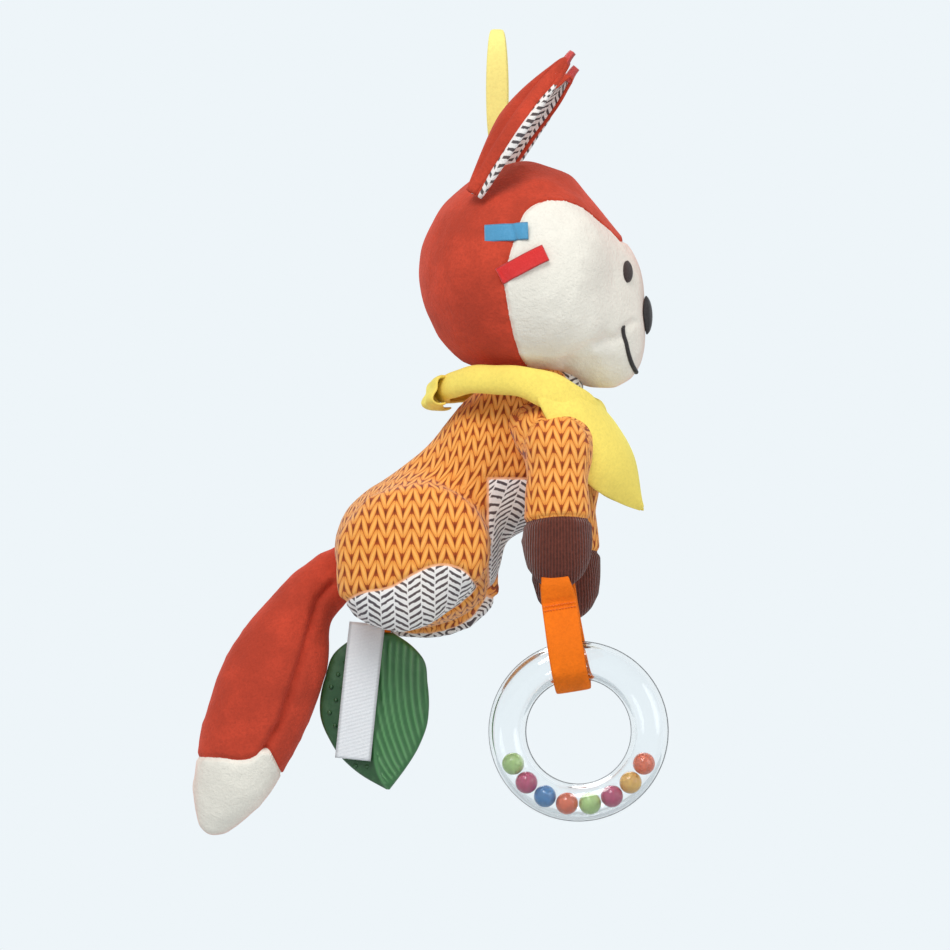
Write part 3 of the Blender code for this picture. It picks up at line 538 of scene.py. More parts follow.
def slopes(mesh):
    flat = np.empty(len(mesh.vertices) * 3)
    mesh.vertex_normals.foreach_get("vector", flat)
    return flat.reshape(-1, 3)


def place_spots(mesh, places):
    mesh.vertices.foreach_set("co", places.ravel())
    mesh.update()


def set_field(mesh, name, values):
    """Stores one number a point, for the mesh's material."""
    layer = mesh.attributes.new(name, "FLOAT", "POINT")
    layer.data.foreach_set("value", np.asarray(values, dtype=np.float32))


def soft_noise(places, scale, seed=0.0):
    shift = Vector((seed, seed * 1.7, -seed))
    return np.array([noise.noise(Vector(spot) * scale + shift) for spot in places])


def line_distance(points, along, height):
    """How far each side-view spot is from a line of points."""
    best = np.full(len(along), 1.0)
    for start, end in zip(points, points[1:]):
        run = np.subtract(end, start)
        share = ((along - start[0]) * run[0] + (height - start[1]) * run[1]) / run.dot(run)
        share = np.clip(share, 0, 1)
        gap = np.hypot(along - start[0] - share * run[0], height - start[1] - share * run[1])
        best = np.minimum(best, gap)
    return best


def eased(knots, value):
    """A smooth reading of a few (place, value) knots."""
    x, y = np.array(knots).T
    slope = np.gradient(y, x)
    value = np.clip(value, x[0], x[-1])
    index = np.clip(np.searchsorted(x, value, side="right") - 1, 0, len(x) - 2)
    span = x[index + 1] - x[index]
    t = (value - x[index]) / span
    return ((2 * t**3 - 3 * t**2 + 1) * y[index] + (t**3 - 2 * t**2 + t) * span * slope[index]
            + (3 * t**2 - 2 * t**3) * y[index + 1] + (t**3 - t**2) * span * slope[index + 1])


def cad_tree(*nodes):
    form = bmesh.new()
    for node in nodes:
        form.from_mesh(frame["nodes"][node].data)
    tree = BVHTree.FromBMesh(form)
    form.free()
    return tree


def box_middle(*nodes):
    boxes = [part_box(node) for node in nodes]
    low = Vector([min(box[0][i] for box in boxes) for i in range(3)])
    high = Vector([max(box[1][i] for box in boxes) for i in range(3)])
    return (low + high) / 2, high - low


def wrap(nodes, detail=5, inset=0.0):
    """A closed skin round stuffed CAD covers, as far out as they reach in every direction."""
    centre, size = box_middle(*nodes)
    tree = cad_tree(*nodes)
    form = bmesh.new()
    bmesh.ops.create_icosphere(form, subdivisions=detail, radius=1.0)
    reach = {}
    for vert in form.verts:
        way = Vector((vert.co.x * size.x, vert.co.y * size.y, vert.co.z * size.z)).normalized()
        hit = tree.ray_cast(centre + way * size.length, -way)[0]
        reach[vert] = (way, (hit - centre).dot(way) if hit else 0.0)
    for vert in form.verts:
        way, far = reach[vert]
        near = sorted(reach[edge.other_vert(vert)][1] for edge in vert.link_edges)
        typical = near[len(near) // 2]
        if far < typical * 0.93:
            far = typical
        vert.co = centre + way * (far - inset)
    return form


def blob(centre, size, turn=None):
    form = bmesh.new()
    bmesh.ops.create_icosphere(form, subdivisions=4, radius=0.5)
    for vert in form.verts:
        spot = Vector((vert.co.x * size[0], vert.co.y * size[1], vert.co.z * size[2]))
        vert.co = centre + (turn @ spot if turn else spot)
    return form


def stuff(name, cores, voxel, swell, stuffing, rounds=3, levels=1, mid_plane=None):
    """Sews the cores into one skin and blows it up as cloth: remesh, pressure, a cap on the movement."""
    form = bmesh.new()
    for core in cores:
        spare = bpy.data.meshes.new("core")
        core.to_mesh(spare)
        core.free()
        form.from_mesh(spare)
        bpy.data.meshes.remove(spare)
    item = in_scene(name, to_mesh(name, form))
    remesh = item.modifiers.new("even", "REMESH")
    remesh.mode = "VOXEL"
    remesh.voxel_size = voxel
    relax = item.modifiers.new("relaxed", "SMOOTH")
    relax.iterations = rounds
    relax.factor = 0.5
    finished(item)
    if mid_plane:
        form = bmesh.new()
        form.from_mesh(item.data)
        bmesh.ops.bisect_plane(form, geom=form.verts[:] + form.edges[:] + form.faces[:], dist=voxel * 0.05,
                               plane_co=mid_plane[0], plane_no=mid_plane[1])
        bmesh.ops.triangulate(form, faces=[face for face in form.faces if len(face.verts) > 4])
        form.to_mesh(item.data)
        form.free()
    blow_up(item, swell, stuffing)
    if levels:
        divide = item.modifiers.new("fine", "SUBSURF")
        divide.levels = divide.render_levels = levels
    return item


def blow_up(item, swell, stuffing):
    """Cloth pressure from inside, with gravity off, and no point moved further than the cap."""
    before = spots(item.data)
    cloth = item.modifiers.new("cloth", "CLOTH")
    cloth.settings.quality = 4
    cloth.settings.mass = 0.15
    cloth.settings.tension_stiffness = cloth.settings.compression_stiffness = 12
    cloth.settings.bending_stiffness = 0.3
    cloth.settings.use_pressure = True
    cloth.settings.uniform_pressure_force = stuffing.pressure
    cloth.settings.shrink_min = -0.02
    cloth.settings.effector_weights.gravity = 0
    cloth.collision_settings.use_collision = False
    scene = bpy.context.scene
    for number in range(1, stuffing.frames + 1):
        scene.frame_set(number)
    graph = bpy.context.evaluated_depsgraph_get()
    blown = bpy.data.meshes.new_from_object(item.evaluated_get(graph))
    after = spots(blown)
    item.modifiers.remove(cloth)
    scene.frame_set(1)
    bpy.data.meshes.remove(blown)
    move = after - before
    far = np.linalg.norm(move, axis=1, keepdims=True)
    place_spots(item.data, before + move * np.minimum(1.0, swell / np.maximum(far, 1e-9)))


def flatten(mesh, plane_point, plane_normal, ahead, tries=600):
    """Lays each side of a skin out flat, as its panels were cut, and keeps that as its cloth map."""
    places, normals = spots(mesh), slopes(mesh)
    side = (places - np.array(plane_point)) @ np.array(plane_normal)
    inset = (np.abs(side).max() - np.abs(side)) * 0.8
    layer = mesh.uv_layers.new(name="cloth")
    edges = np.empty(len(mesh.edges) * 2, dtype=int)
    mesh.edges.foreach_get("vertices", edges)
    edges = edges.reshape(-1, 2)
    rest = np.linalg.norm(places[edges[:, 0]] - places[edges[:, 1]], axis=1)
    flat = {}
    for sign in (-1, 1):
        inside = side * sign > -0.00002
        kept = inside[edges].all(axis=1)
        pair, length = edges[kept], rest[kept]
        spot = np.column_stack(((places + normals * inset[:, None]) @ np.array(ahead),
                                places[:, 2] + normals[:, 2] * inset))
        count = np.zeros(len(places))
        np.add.at(count, pair.ravel(), 1)
        for _ in range(tries):
            run = spot[pair[:, 1]] - spot[pair[:, 0]]
            now = np.maximum(np.linalg.norm(run, axis=1), 1e-7)
            push = run * ((now - length) / now * 0.5)[:, None]
            shift = np.zeros_like(spot)
            np.add.at(shift, pair[:, 0], push)
            np.add.at(shift, pair[:, 1], -push)
            spot += shift / np.maximum(count, 1)[:, None] * 1.5
        flat[sign] = spot
    for polygon in mesh.polygons:
        middle = sum(side[index] for index in polygon.vertices)
        chosen = flat[1 if middle > 0 else -1]
        for loop in polygon.loop_indices:
            layer.data[loop].uv = chosen[mesh.loops[loop].vertex_index]


def crease(places, normals, distance, depth, width, ripple=0.0, pace=0.0, seed=0.0):
    """Sinks a line into the cloth and puckers what is beside it."""
    pull = depth * np.exp(-(distance / width) ** 2)
    if ripple:
        wave = soft_noise(places, pace, seed)
        pull = pull - ripple * wave * np.exp(-(distance / (width * 3.2)) ** 2)
    return places - normals * pull[:, None]


def tape(path, across, width, thick, sides=12, closed=False, square=5.0, colour_map=True):
    """A flat ribbon swept along a path: across gives its width's way at each point."""
    form = bmesh.new()
    layer = form.loops.layers.uv.new("cloth")
    edge_layer = form.verts.layers.float.new("selvedge")
    count = len(path)
    rings, lengths, run = [], [], 0.0
    for index, spot in enumerate(path):
        before = path[index - 1] if index or closed else spot
        after = path[(index + 1) % count] if index < count - 1 or closed else spot
        way = (after - before).normalized()
        side = across[index] if isinstance(across, list) else across
        side = (side - side.dot(way) * way).normalized()
        face = way.cross(side)
        wide = width(index / (count - 1)) if callable(width) else width
        deep = thick(index / (count - 1)) if callable(thick) else thick
        ring = []
        for turn in range(sides):
            angle = 2 * math.pi * turn / sides
            c, s = math.cos(angle), math.sin(angle)
            u = math.copysign(abs(c) ** (2 / square), c)
            v = math.copysign(abs(s) ** (2 / square), s)
            vert = form.verts.new(spot + side * u * wide / 2 + face * v * deep / 2)
            vert[edge_layer] = abs(u)
            ring.append((vert, u * wide / 2))
        rings.append(ring)
        lengths.append(run)
        run += (after - spot).length
    last = count if closed else count - 1
    for index in range(last):
        here, there = rings[index], rings[(index + 1) % count]
        ends = (lengths[index], lengths[index + 1] if index + 1 < count else run)
        for turn in range(sides):
            near, far = turn, (turn + 1) % sides
            face = form.faces.new((here[near][0], there[near][0], there[far][0], here[far][0]))
            corners = ((here[near][1], ends[0]), (there[near][1], ends[1]),
                       (there[far][1], ends[1]), (here[far][1], ends[0]))
            for loop, corner in zip(face.loops, corners):
                loop[layer].uv = corner
    if not closed:
        form.faces.new([vert for vert, _ in rings[0]][::-1])
        form.faces.new([vert for vert, _ in rings[-1]])
    bmesh.ops.recalc_face_normals(form, faces=form.faces)
    return form


def smooth_path(points, count, closed=False):
    """Evenly spaced points on a smooth curve through the given ones."""
    points = [Vector(point) for point in points]
    size = len(points)
    fine = []
    for index in range(size if closed else size - 1):
        if closed:
            a, b, c, d = (points[(index + k) % size] for k in (-1, 0, 1, 2))
        else:
            a, b = points[max(index - 1, 0)], points[index]
            c, d = points[index + 1], points[min(index + 2, size - 1)]
        for step in range(16):
            t = step / 16
            fine.append(0.5 * (2 * b + (c - a) * t + (2 * a - 5 * b + 4 * c - d) * t**2
                               + (3 * b - a - 3 * c + d) * t**3))
    fine.append(points[0] if closed else points[-1])
    marks = [0.0]
    for first, second in zip(fine, fine[1:]):
        marks.append(marks[-1] + (second - first).length)
    wanted = np.linspace(0, marks[-1], count + 1 if closed else count)
    columns = [np.interp(wanted, marks, [spot[axis] for spot in fine]) for axis in range(3)]
    path = [Vector(spot) for spot in zip(*columns)]
    return path[:-1] if closed else path


# Repeated pieces, by Geometry Nodes

def thread_tree():
    """Every edge chain of a mesh becomes a round thread of the given thickness."""
    tree = bpy.data.node_groups.new("sewn_threads", "GeometryNodeTree")
    face = tree.interface
    face.new_socket("Geometry", in_out="INPUT", socket_type="NodeSocketGeometry")
    thick = face.new_socket("Thread Radius", in_out="INPUT", socket_type="NodeSocketFloat")
    material = face.new_socket("Material", in_out="INPUT", socket_type="NodeSocketMaterial")
    face.new_socket("Geometry", in_out="OUTPUT", socket_type="NodeSocketGeometry")
    nodes = {kind: tree.nodes.new(kind) for kind in (
        "NodeGroupInput", "GeometryNodeMeshToCurve", "GeometryNodeCurvePrimitiveCircle",
        "GeometryNodeCurveToMesh", "GeometryNodeRealizeInstances", "GeometryNodeSetMaterial", "NodeGroupOutput")}
    nodes["GeometryNodeCurvePrimitiveCircle"].inputs["Resolution"].default_value = 6
    start = nodes["NodeGroupInput"].outputs
    sweep = nodes["GeometryNodeCurveToMesh"]
    sweep.inputs["Fill Caps"].default_value = True
    links = tree.links
    links.new(start["Geometry"], nodes["GeometryNodeMeshToCurve"].inputs["Mesh"])
    links.new(nodes["GeometryNodeMeshToCurve"].outputs["Curve"], sweep.inputs["Curve"])
    links.new(start["Thread Radius"], nodes["GeometryNodeCurvePrimitiveCircle"].inputs["Radius"])
    links.new(nodes["GeometryNodeCurvePrimitiveCircle"].outputs["Curve"], sweep.inputs["Profile Curve"])
    links.new(sweep.outputs["Mesh"], nodes["GeometryNodeRealizeInstances"].inputs["Geometry"])
    links.new(nodes["GeometryNodeRealizeInstances"].outputs["Geometry"],
              nodes["GeometryNodeSetMaterial"].inputs["Geometry"])
    links.new(start["Material"], nodes["GeometryNodeSetMaterial"].inputs["Material"])
    links.new(nodes["GeometryNodeSetMaterial"].outputs["Geometry"], nodes["NodeGroupOutput"].inputs["Geometry"])
    return tree, thick.identifier, material.identifier


def nub_tree():
    """Every point of a mesh gets a low round nub."""
    tree = bpy.data.node_groups.new("moulded_nubs", "GeometryNodeTree")
    face = tree.interface
    face.new_socket("Geometry", in_out="INPUT", socket_type="NodeSocketGeometry")
    size = face.new_socket("Nub Radius", in_out="INPUT", socket_type="NodeSocketFloat")
    material = face.new_socket("Material", in_out="INPUT", socket_type="NodeSocketMaterial")
    face.new_socket("Geometry", in_out="OUTPUT", socket_type="NodeSocketGeometry")
    nodes = {kind: tree.nodes.new(kind) for kind in (
        "NodeGroupInput", "GeometryNodeMeshUVSphere", "GeometryNodeInstanceOnPoints",
        "GeometryNodeRealizeInstances", "GeometryNodeSetMaterial", "NodeGroupOutput")}
    ball = nodes["GeometryNodeMeshUVSphere"]
    ball.inputs["Segments"].default_value = 10
    ball.inputs["Rings"].default_value = 6
    start = nodes["NodeGroupInput"].outputs
    spread = nodes["GeometryNodeInstanceOnPoints"]
    links = tree.links
    links.new(start["Geometry"], spread.inputs["Points"])
    links.new(start["Nub Radius"], ball.inputs["Radius"])
    links.new(ball.outputs["Mesh"], spread.inputs["Instance"])
    links.new(spread.outputs["Instances"], nodes["GeometryNodeRealizeInstances"].inputs["Geometry"])
    links.new(nodes["GeometryNodeRealizeInstances"].outputs["Geometry"],
              nodes["GeometryNodeSetMaterial"].inputs["Geometry"])
    links.new(start["Material"], nodes["GeometryNodeSetMaterial"].inputs["Material"])
    links.new(nodes["GeometryNodeSetMaterial"].outputs["Geometry"], nodes["NodeGroupOutput"].inputs["Geometry"])
    return tree, size.identifier, material.identifier


def repeated(name, chains, kind, radius, material):
    """Runs one of the trees over chains of points and gives the plain mesh object."""
    form = bmesh.new()
    for chain in chains:
        verts = [form.verts.new(spot) for spot in chain]
        for first, second in zip(verts, verts[1:]):
            form.edges.new((first, second))
    item = in_scene(name, to_mesh(name, form, smooth=False))
    if kind not in TREES:
        TREES[kind] = thread_tree() if kind == "threads" else nub_tree()
    tree, size_key, material_key = TREES[kind]
    work = item.modifiers.new(kind, "NODES")
    work.node_group = tree
    work[size_key] = radius
    work[material_key] = material
    finished(item)
    item.data.shade_smooth()
    return item


TREES = {}
SKINS = {}
CLOTHS = {}


def cloth(name):
    """The shared finishes, made when first asked for."""
    if name not in CLOTHS:
        colours, prints = bpy.context.scene.fox_colours, bpy.context.scene.fox_prints
        makers = {
            "body": lambda: printed_cloth("knit_and_herringbone", prints, colours),
            "arm": lambda: arm_cloth("knit_sleeve_and_paw", prints, colours),
            "ear_print": lambda: printed_cloth("herringbone_ear", prints, colours, seam_highlight=False),
            "hood": lambda: tipped_velour("red_and_cream_velour", colours.hood, colours.cream, "cream_edge"),
            "ear_back": lambda: velour("red_velour", colours.hood)[0],
            "yellow": lambda: velour("yellow_velour", colours.yellow, depth=0.80, pile=0.00018)[0],
            "orange": lambda: velour("orange_velour", colours.orange, depth=0.72, pile=0.00025)[0],
            "blue": lambda: satin("blue_satin", (0.075, 0.36, 0.62)),
            "red": lambda: satin("red_satin", (0.82, 0.008, 0.006)),
            "coral": lambda: satin("coral_satin", (0.72, 0.06, 0.05)),
            "label": lambda: satin("white_satin", (0.86, 0.86, 0.88), roughness=0.42, rib=0.0005),
            "dark_thread": lambda: thread_finish("dark_thread", (0.020, 0.013, 0.013)),
            "brown_thread": lambda: thread_finish("brown_thread", (0.040, 0.018, 0.014)),
            "orange_thread": lambda: thread_finish("orange_thread", (0.80, 0.16, 0.01)),
            "yellow_thread": lambda: thread_finish("yellow_thread", (0.90, 0.62, 0.12)),
            "white_thread": lambda: thread_finish("white_thread", (0.75, 0.74, 0.72)),
            # A thread finish in the colour of the painted seam highlight
            "seam_highlight": lambda: thread_finish("peach_seam_highlight", colours.seam_highlight),
            "leaf": lambda: silicone("green_silicone", colours.leaf),
            "clear": lambda: clear_plastic("clear_plastic"),
            "fibre": lambda: fibre("polyester_fibre"),
            "film": lambda: film("crackle_film"),
            "pale_yellow": lambda: velour("loop_yellow_velour", (0.93, 0.78, 0.24), depth=0.86, pile=0.00014)[0],
        }
        CLOTHS[name] = makers[name]()
    return CLOTHS[name]


def onto(tree, spot, way, lift=0.0):
    """Where a line from far out meets a skin, and the skin's outward normal there."""
    way = way.normalized()
    hit, normal = tree.ray_cast(spot + way * 0.12, -way)[:2]
    if hit is None:
        hit, normal = tree.find_nearest(spot)[:2]
    if normal.dot(way) < 0:
        normal = -normal
    return hit + normal * lift, normal


def skin_tree(item):
    form = bmesh.new()
    form.from_mesh(item.data)
    tree = BVHTree.FromBMesh(form)
    form.free()
    return tree


# Pieces

def face_gap(places):
    """Distance over the head from the seam of the cream face: above zero on the face."""
    tilt = math.radians(FACE_TILT)
    way = places - np.array(HEAD_CENTRE)
    reach = np.linalg.norm(way, axis=1)
    way = way / reach[:, None]
    pole = np.array((math.cos(tilt), 0, math.sin(tilt)))
    up = np.array((-math.sin(tilt), 0, math.cos(tilt)))
    ahead, lift = way @ pole, way @ up
    out = np.degrees(np.arccos(np.clip(ahead, -1, 1)))
    turn = np.degrees(np.arctan2(np.abs(way[:, 1]), lift))
    edge = (FACE_PEAK + FACE_CHEEK / (1 + np.exp((FACE_TURN - turn) / FACE_TURN_SPREAD))
            - FACE_JAW * np.clip((turn - 100) / 80, 0, 1))
    return np.radians(edge - out) * reach


class FOX_OT_head(bpy.types.Operator):
    """Sew and stuff the hood and the cream face"""
    bl_idname = "fox.head"
    bl_label = "Head"

    def execute(self, context):
        scene = context.scene
        stuffing = scene.fox_stuffing
        nodes = ("head_hood", "head_face")
        item = stuff("head_skin", [wrap(nodes, inset=0.0013)], stuffing.voxel, stuffing.swell, stuffing,
                     rounds=2, levels=2)
        finished(item)
        mesh = item.data
        places, normals = spots(mesh), slopes(mesh)
        gap = face_gap(places)
        places = crease(places, normals, gap, scene.fox_prints.seam_depth, 0.0010, 0.00045, 220, 3.0)
        side = np.abs(places[:, 1])
        for line, depth, width in ((((0.0372, -0.1160), (0.0460, -0.1125)), 0.0008, 0.0017),
                                   (((0.0250, -0.1230), (0.0330, -0.1172), (0.0400, -0.1130)), 0.0007, 0.0022),
                                   (((0.0462, -0.1102), (0.0500, -0.1068)), 0.0007, 0.0014)):
            away = line_distance(line, places[:, 0], places[:, 2]) + np.maximum(0.004 - side, 0)
            places = crease(places, normals, away, depth, width)
        places += normals * (soft_noise(places, 38, 5.0) * 0.0006 + soft_noise(places, 95, 9.0) * 0.00022)[:, None]
        place_spots(mesh, places)
        set_field(mesh, "cream_edge", face_gap(places))
        head = piece("head_skin", item, cloth("hood"), "head", nodes)
        SKINS["head"] = skin_tree(head)
        return {"FINISHED"}


class FOX_OT_face_stitching(bpy.types.Operator):
    """Embroider the eyes, nose and smile"""
    bl_idname = "fox.face_stitching"
    bl_label = "Face Stitching"

    def execute(self, context):
        thread = context.scene.fox_prints.thread
        for side, sign in SIDES.items():
            middle = box_middle("eye_" + side)[0]
            self.pad("eye_" + side, middle, Vector((0.93, 0.50 * sign, 0)), 0.0078, 0.0058, 15.0 * sign,
                     thread, "brown_thread")
        middle = box_middle("nose")[0]
        self.pad("nose", middle, Vector((1, 0, -0.25)), 0.0135, 0.0108, 0.0, thread, "dark_thread", rise=0.0024)
        self.smile(thread)
        return {"FINISHED"}

    def pad(self, node, middle, way, height, width, lean, thread, finish_name, rise=0.0009):
        """A padded oval covered with rows of thread."""
        head = SKINS["head"]
        spot, normal = onto(head, middle, way)
        up = (UP - UP.dot(normal) * normal).normalized()
        up = Matrix.Rotation(math.radians(lean), 3, normal) @ up
        side = normal.cross(up)
        rows = round(height / (thread * 0.82))
        chains, dome = [], []
        for row in range(rows + 1):
            v = 2 * row / rows - 1
            taper = 1.0 - 0.22 * max(0.0, -v) if node == "nose" else 1.0
            half = math.sqrt(max(1 - v * v, 0.02)) * width / 2 * taper
            chain = []
            for step in range(9):
                u = step / 4 - 1
                flat = spot + up * v * height / 2 + side * u * half
                surface, skin_normal = onto(head, flat, normal)
                swell = rise * math.sqrt(max(0.0, 1 - 0.92 * (u * u * (1 - v * v) + v * v)))
                sink = thread * 0.6 if step in (0, 8) else 0.0
                chain.append(surface + skin_normal * (swell + thread * 0.25 - sink))
            chains.append(chain)
            dome.append([point - normal * thread * 0.35 for point in chain])
        form = bmesh.new()
        grid = [[form.verts.new(point) for point in row] for row in dome]
        for low, high in zip(grid, grid[1:]):
            for index in range(8):
                form.faces.new((low[index], low[index + 1], high[index + 1], high[index]))
        bmesh.ops.solidify(form, geom=form.faces[:], thickness=0.0006)
        bmesh.ops.recalc_face_normals(form, faces=form.faces)
        piece(node + "_padding", to_mesh(node + "_padding", form), cloth(finish_name), "head", (node,))
        threads = repeated(node + "_threads", chains, "threads", thread / 2, cloth(finish_name))
        piece(node + "_threads", threads, cloth(finish_name), "head", ())

    def smile(self, thread):
        """A thick line of slanted stitches over a cord, from cheek to cheek."""
        head = SKINS["head"]
        path = []
        for step in range(61):
            share = step / 30 - 1
            angle = math.radians(-43.8 + 12.5 * abs(share) ** 3)
            spread = math.radians(21.0 * share)
            way = Vector((math.cos(angle) * math.cos(spread), math.sin(spread), math.sin(angle) * math.cos(spread)))
            path.append(onto(head, HEAD_CENTRE, way, 0.0002)[0])
        even = smooth_path(path, 100)
        chains = []
        for before, spot, after in zip(even, even[1:], even[2:]):
            way = (after - before).normalized()
            normal = (spot - HEAD_CENTRE).normalized()
            across = way.cross(normal).normalized()
            lean = way * 0.00035
            chains.append([spot - across * 0.00072 - lean - normal * 0.0003, spot - across * 0.0005 - lean
                           + normal * 0.0003, spot + normal * 0.00055, spot + across * 0.0005 + lean
                           + normal * 0.0003, spot + across * 0.00072 + lean - normal * 0.0003])
        threads = repeated("smile_threads", chains, "threads", thread * 0.46, cloth("dark_thread"))
        piece("smile_threads", threads, cloth("dark_thread"), "head", ("mouth_stitch",))
        form = tape(even, [(spot - HEAD_CENTRE).cross(even[1] - even[0]) for spot in even], 0.0011, 0.0008, sides=8,
                    square=2.0)
        piece("smile_cord", to_mesh("smile_cord", form), cloth("dark_thread"), "head", ())


class FOX_OT_ribbons(bpy.types.Operator):
    """Fold the satin tabs into the seams of the hood"""
    bl_idname = "fox.ribbons"
    bl_label = "Ribbon Tabs"

    def execute(self, context):
        head = SKINS["head"]
        for side, sign in SIDES.items():
            for colour, length, angle in (("blue", 0.0155, 1.0), ("red", 0.0185, 27.0)):
                node = "tab_" + colour + "_" + side
                middle = box_middle(node)[0]
                run = Vector((math.cos(math.radians(angle)), 0, math.sin(math.radians(angle))))
                out = Vector((0, sign, 0))
                across = run.cross(out)
                path = []
                for step in range(25):
                    share = step / 24
                    spot = middle + run * (share - 0.5) * length
                    lift = 0.0003 + 0.0011 * share**1.5
                    path.append(onto(head, spot, out, lift)[0])
                for _ in range(4):
                    path[1:-1] = [(before + spot * 2 + after) / 4
                                  for before, spot, after in zip(path, path[1:], path[2:])]
                form = tape(path, across, 0.0064, lambda t: 0.00115 + 0.0003 * math.sin(3 * t), sides=16)
                made = to_mesh(node + "_ribbon", form)
                piece(node + "_ribbon", made, cloth(colour), "head", (node,))
        return {"FINISHED"}


class FOX_OT_ears(bpy.types.Operator):
    """Shape the two ears: velour behind, print in front, a coral fold at the tip"""
    bl_idname = "fox.ears"
    bl_label = "Ears"

    def execute(self, context):
        for side, sign in SIDES.items():
            joint = JOINTS["ear_" + side + "_fold"]
            base = Vector(joint["pos_m"])
            width = Vector(joint["axis"]).normalized() * -sign
            tip = box_middle("ear_" + side + "_tab")[0]
            length = (tip - base).normalized()
            back = (box_middle("ear_" + side + "_back")[0] - box_middle("ear_" + side + "_front")[0])
            back = (back - back.dot(length) * length - back.dot(width) * width).normalized()
            reach = (tip - base).length - 0.0020
            self.film(side, base, width, length, back, reach)
            for layer, behind in (("velour", 1), ("print", -1)):
                self.leaf(side, layer, behind, base, width, length, back, reach)
            self.fold(side, tip, length, width, back)
            self.rim(side, base, width, length, back, reach)
        return {"FINISHED"}

    def spot(self, up, across, behind, base, width, length, back, reach):
        """A point of the ear: up from 0 to 1, across from -1 to 1."""
        half = 0.0122 * (0.34 + 0.66 * math.sin(math.pi * min((up + 0.05) / 0.95, 1.0)))
        half *= math.sqrt(max(1 - (up / 1.005) ** 5, 0.0))
        if base.y > 0 and across < 0:
            half *= 0.74
        if across > 0:
            half *= 0.50 + 0.50 * min(1.0, up / 0.45)
        curl = 0.0066 * (1 - across**2) * math.sin(math.pi * (0.12 + 0.80 * up))
        fold = -0.0016 * math.exp(-(across / 0.14) ** 2) * math.sin(math.pi * up)
        plump = 0.00125 * (1 - across**4) ** 0.5 * math.sqrt(max(1 - up**6, 0))
        inward = 1.0 if across > 0 else 1.0 - 0.16 * abs(across)
        side, lift, tilt = across * half * inward, 0.0, 0.0
        start = -0.52
        if across < start:
            roll = 0.0015
            turn = (start - across) * half / roll
            side = start * half * inward - roll * math.sin(turn)
            lift = roll * (1 - math.cos(turn))
            tilt = turn
        out = behind * plump
        return (base + width * (side + out * math.sin(tilt)) + length * (up * reach - 0.0085 * (1 - up) ** 2)
                + back * (curl + lift + out * math.cos(tilt) + (fold if behind > 0 else 0.0)))

    def film(self, side, base, width, length, back, reach):
        """The crackling film sewn between the two cloths."""
        form = bmesh.new()
        grid = [[form.verts.new(self.spot(0.06 + 0.84 * row / 20, 0.05 + 0.45 * (column / 6 - 1), 0, base, width,
                                          length, back, reach)) for column in range(13)] for row in range(21)]
        for low, high in zip(grid, grid[1:]):
            for column in range(12):
                form.faces.new((low[column], low[column + 1], high[column + 1], high[column]))
        bmesh.ops.solidify(form, geom=form.faces[:], thickness=0.0003)
        bmesh.ops.recalc_face_normals(form, faces=form.faces)
        name = "ear_" + side + "_film_sheet"
        piece(name, to_mesh(name, form), cloth("film"), "ear_" + side, ("ear_" + side + "_film",))

    def leaf(self, side, layer, behind, base, width, length, back, reach):
        rows, columns = 44, 26
        form = bmesh.new()
        uv = form.loops.layers.uv.new("cloth")
        grid = []
        for row in range(rows + 1):
            up = row / rows
            grid.append([form.verts.new(self.spot(up, 2 * column / columns - 1, behind, base, width, length,
                                                  back, reach)) for column in range(columns + 1)])
        for row in range(rows):
            for column in range(columns):
                corners = [(row, column), (row, column + 1), (row + 1, column + 1), (row + 1, column)]
                face = form.faces.new([grid[r][c] for r, c in corners])
                for loop, (r, c) in zip(face.loops, corners):
                    loop[uv].uv = ((c / columns - 0.5) * 0.024, r / rows * reach)
        bmesh.ops.recalc_face_normals(form, faces=form.faces)
        probe = form.faces[len(form.faces) // 2]
        if probe.normal.dot(back) * behind < 0:
            bmesh.ops.reverse_faces(form, faces=form.faces)
        name = "ear_" + side + "_" + layer
        item = in_scene(name, to_mesh(name, form))
        wall = item.modifiers.new("cloth_wall", "SOLIDIFY")
        wall.thickness = 0.0007
        wall.offset = -1.0
        finished(item)
        mesh = item.data
        if layer == "print":
            set_field(mesh, "print_edge", np.full(len(mesh.vertices), 0.01))
        node = "ear_" + side + ("_back" if layer == "velour" else "_front")
        made = piece(name, item, cloth("ear_back" if layer == "velour" else "ear_print"), None, (node,))
        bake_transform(made)

    def fold(self, side, tip, length, width, back):
        path = [tip + length * (step / 8 - 0.75) * 0.0062 + back * 0.0006 * math.sin(step / 3) for step in range(9)]
        form = tape(path, width, lambda t: 0.0042 - 0.0012 * t, 0.0016, sides=12)
        name = "ear_" + side + "_tip_fold"
        piece(name, to_mesh(name, form), cloth("coral"), "ear_" + side, ("ear_" + side + "_tab",))

    def rim(self, side, base, width, length, back, reach):
        """The turned edge where the two cloths meet."""
        path = []
        for across, steps in ((-1.0, range(0, 41)), (1.0, range(40, -1, -1))):
            for step in steps:
                up = step / 40 * 0.985
                path.append(self.spot(up, across * 0.985, 0, base, width, length, back, reach))
        form = tape(path, back, 0.0024, 0.0013, sides=10, square=2.0)
        name = "ear_" + side + "_rim"
        made = piece(name, to_mesh(name, form), cloth("ear_back"), None, ())
        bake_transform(made)


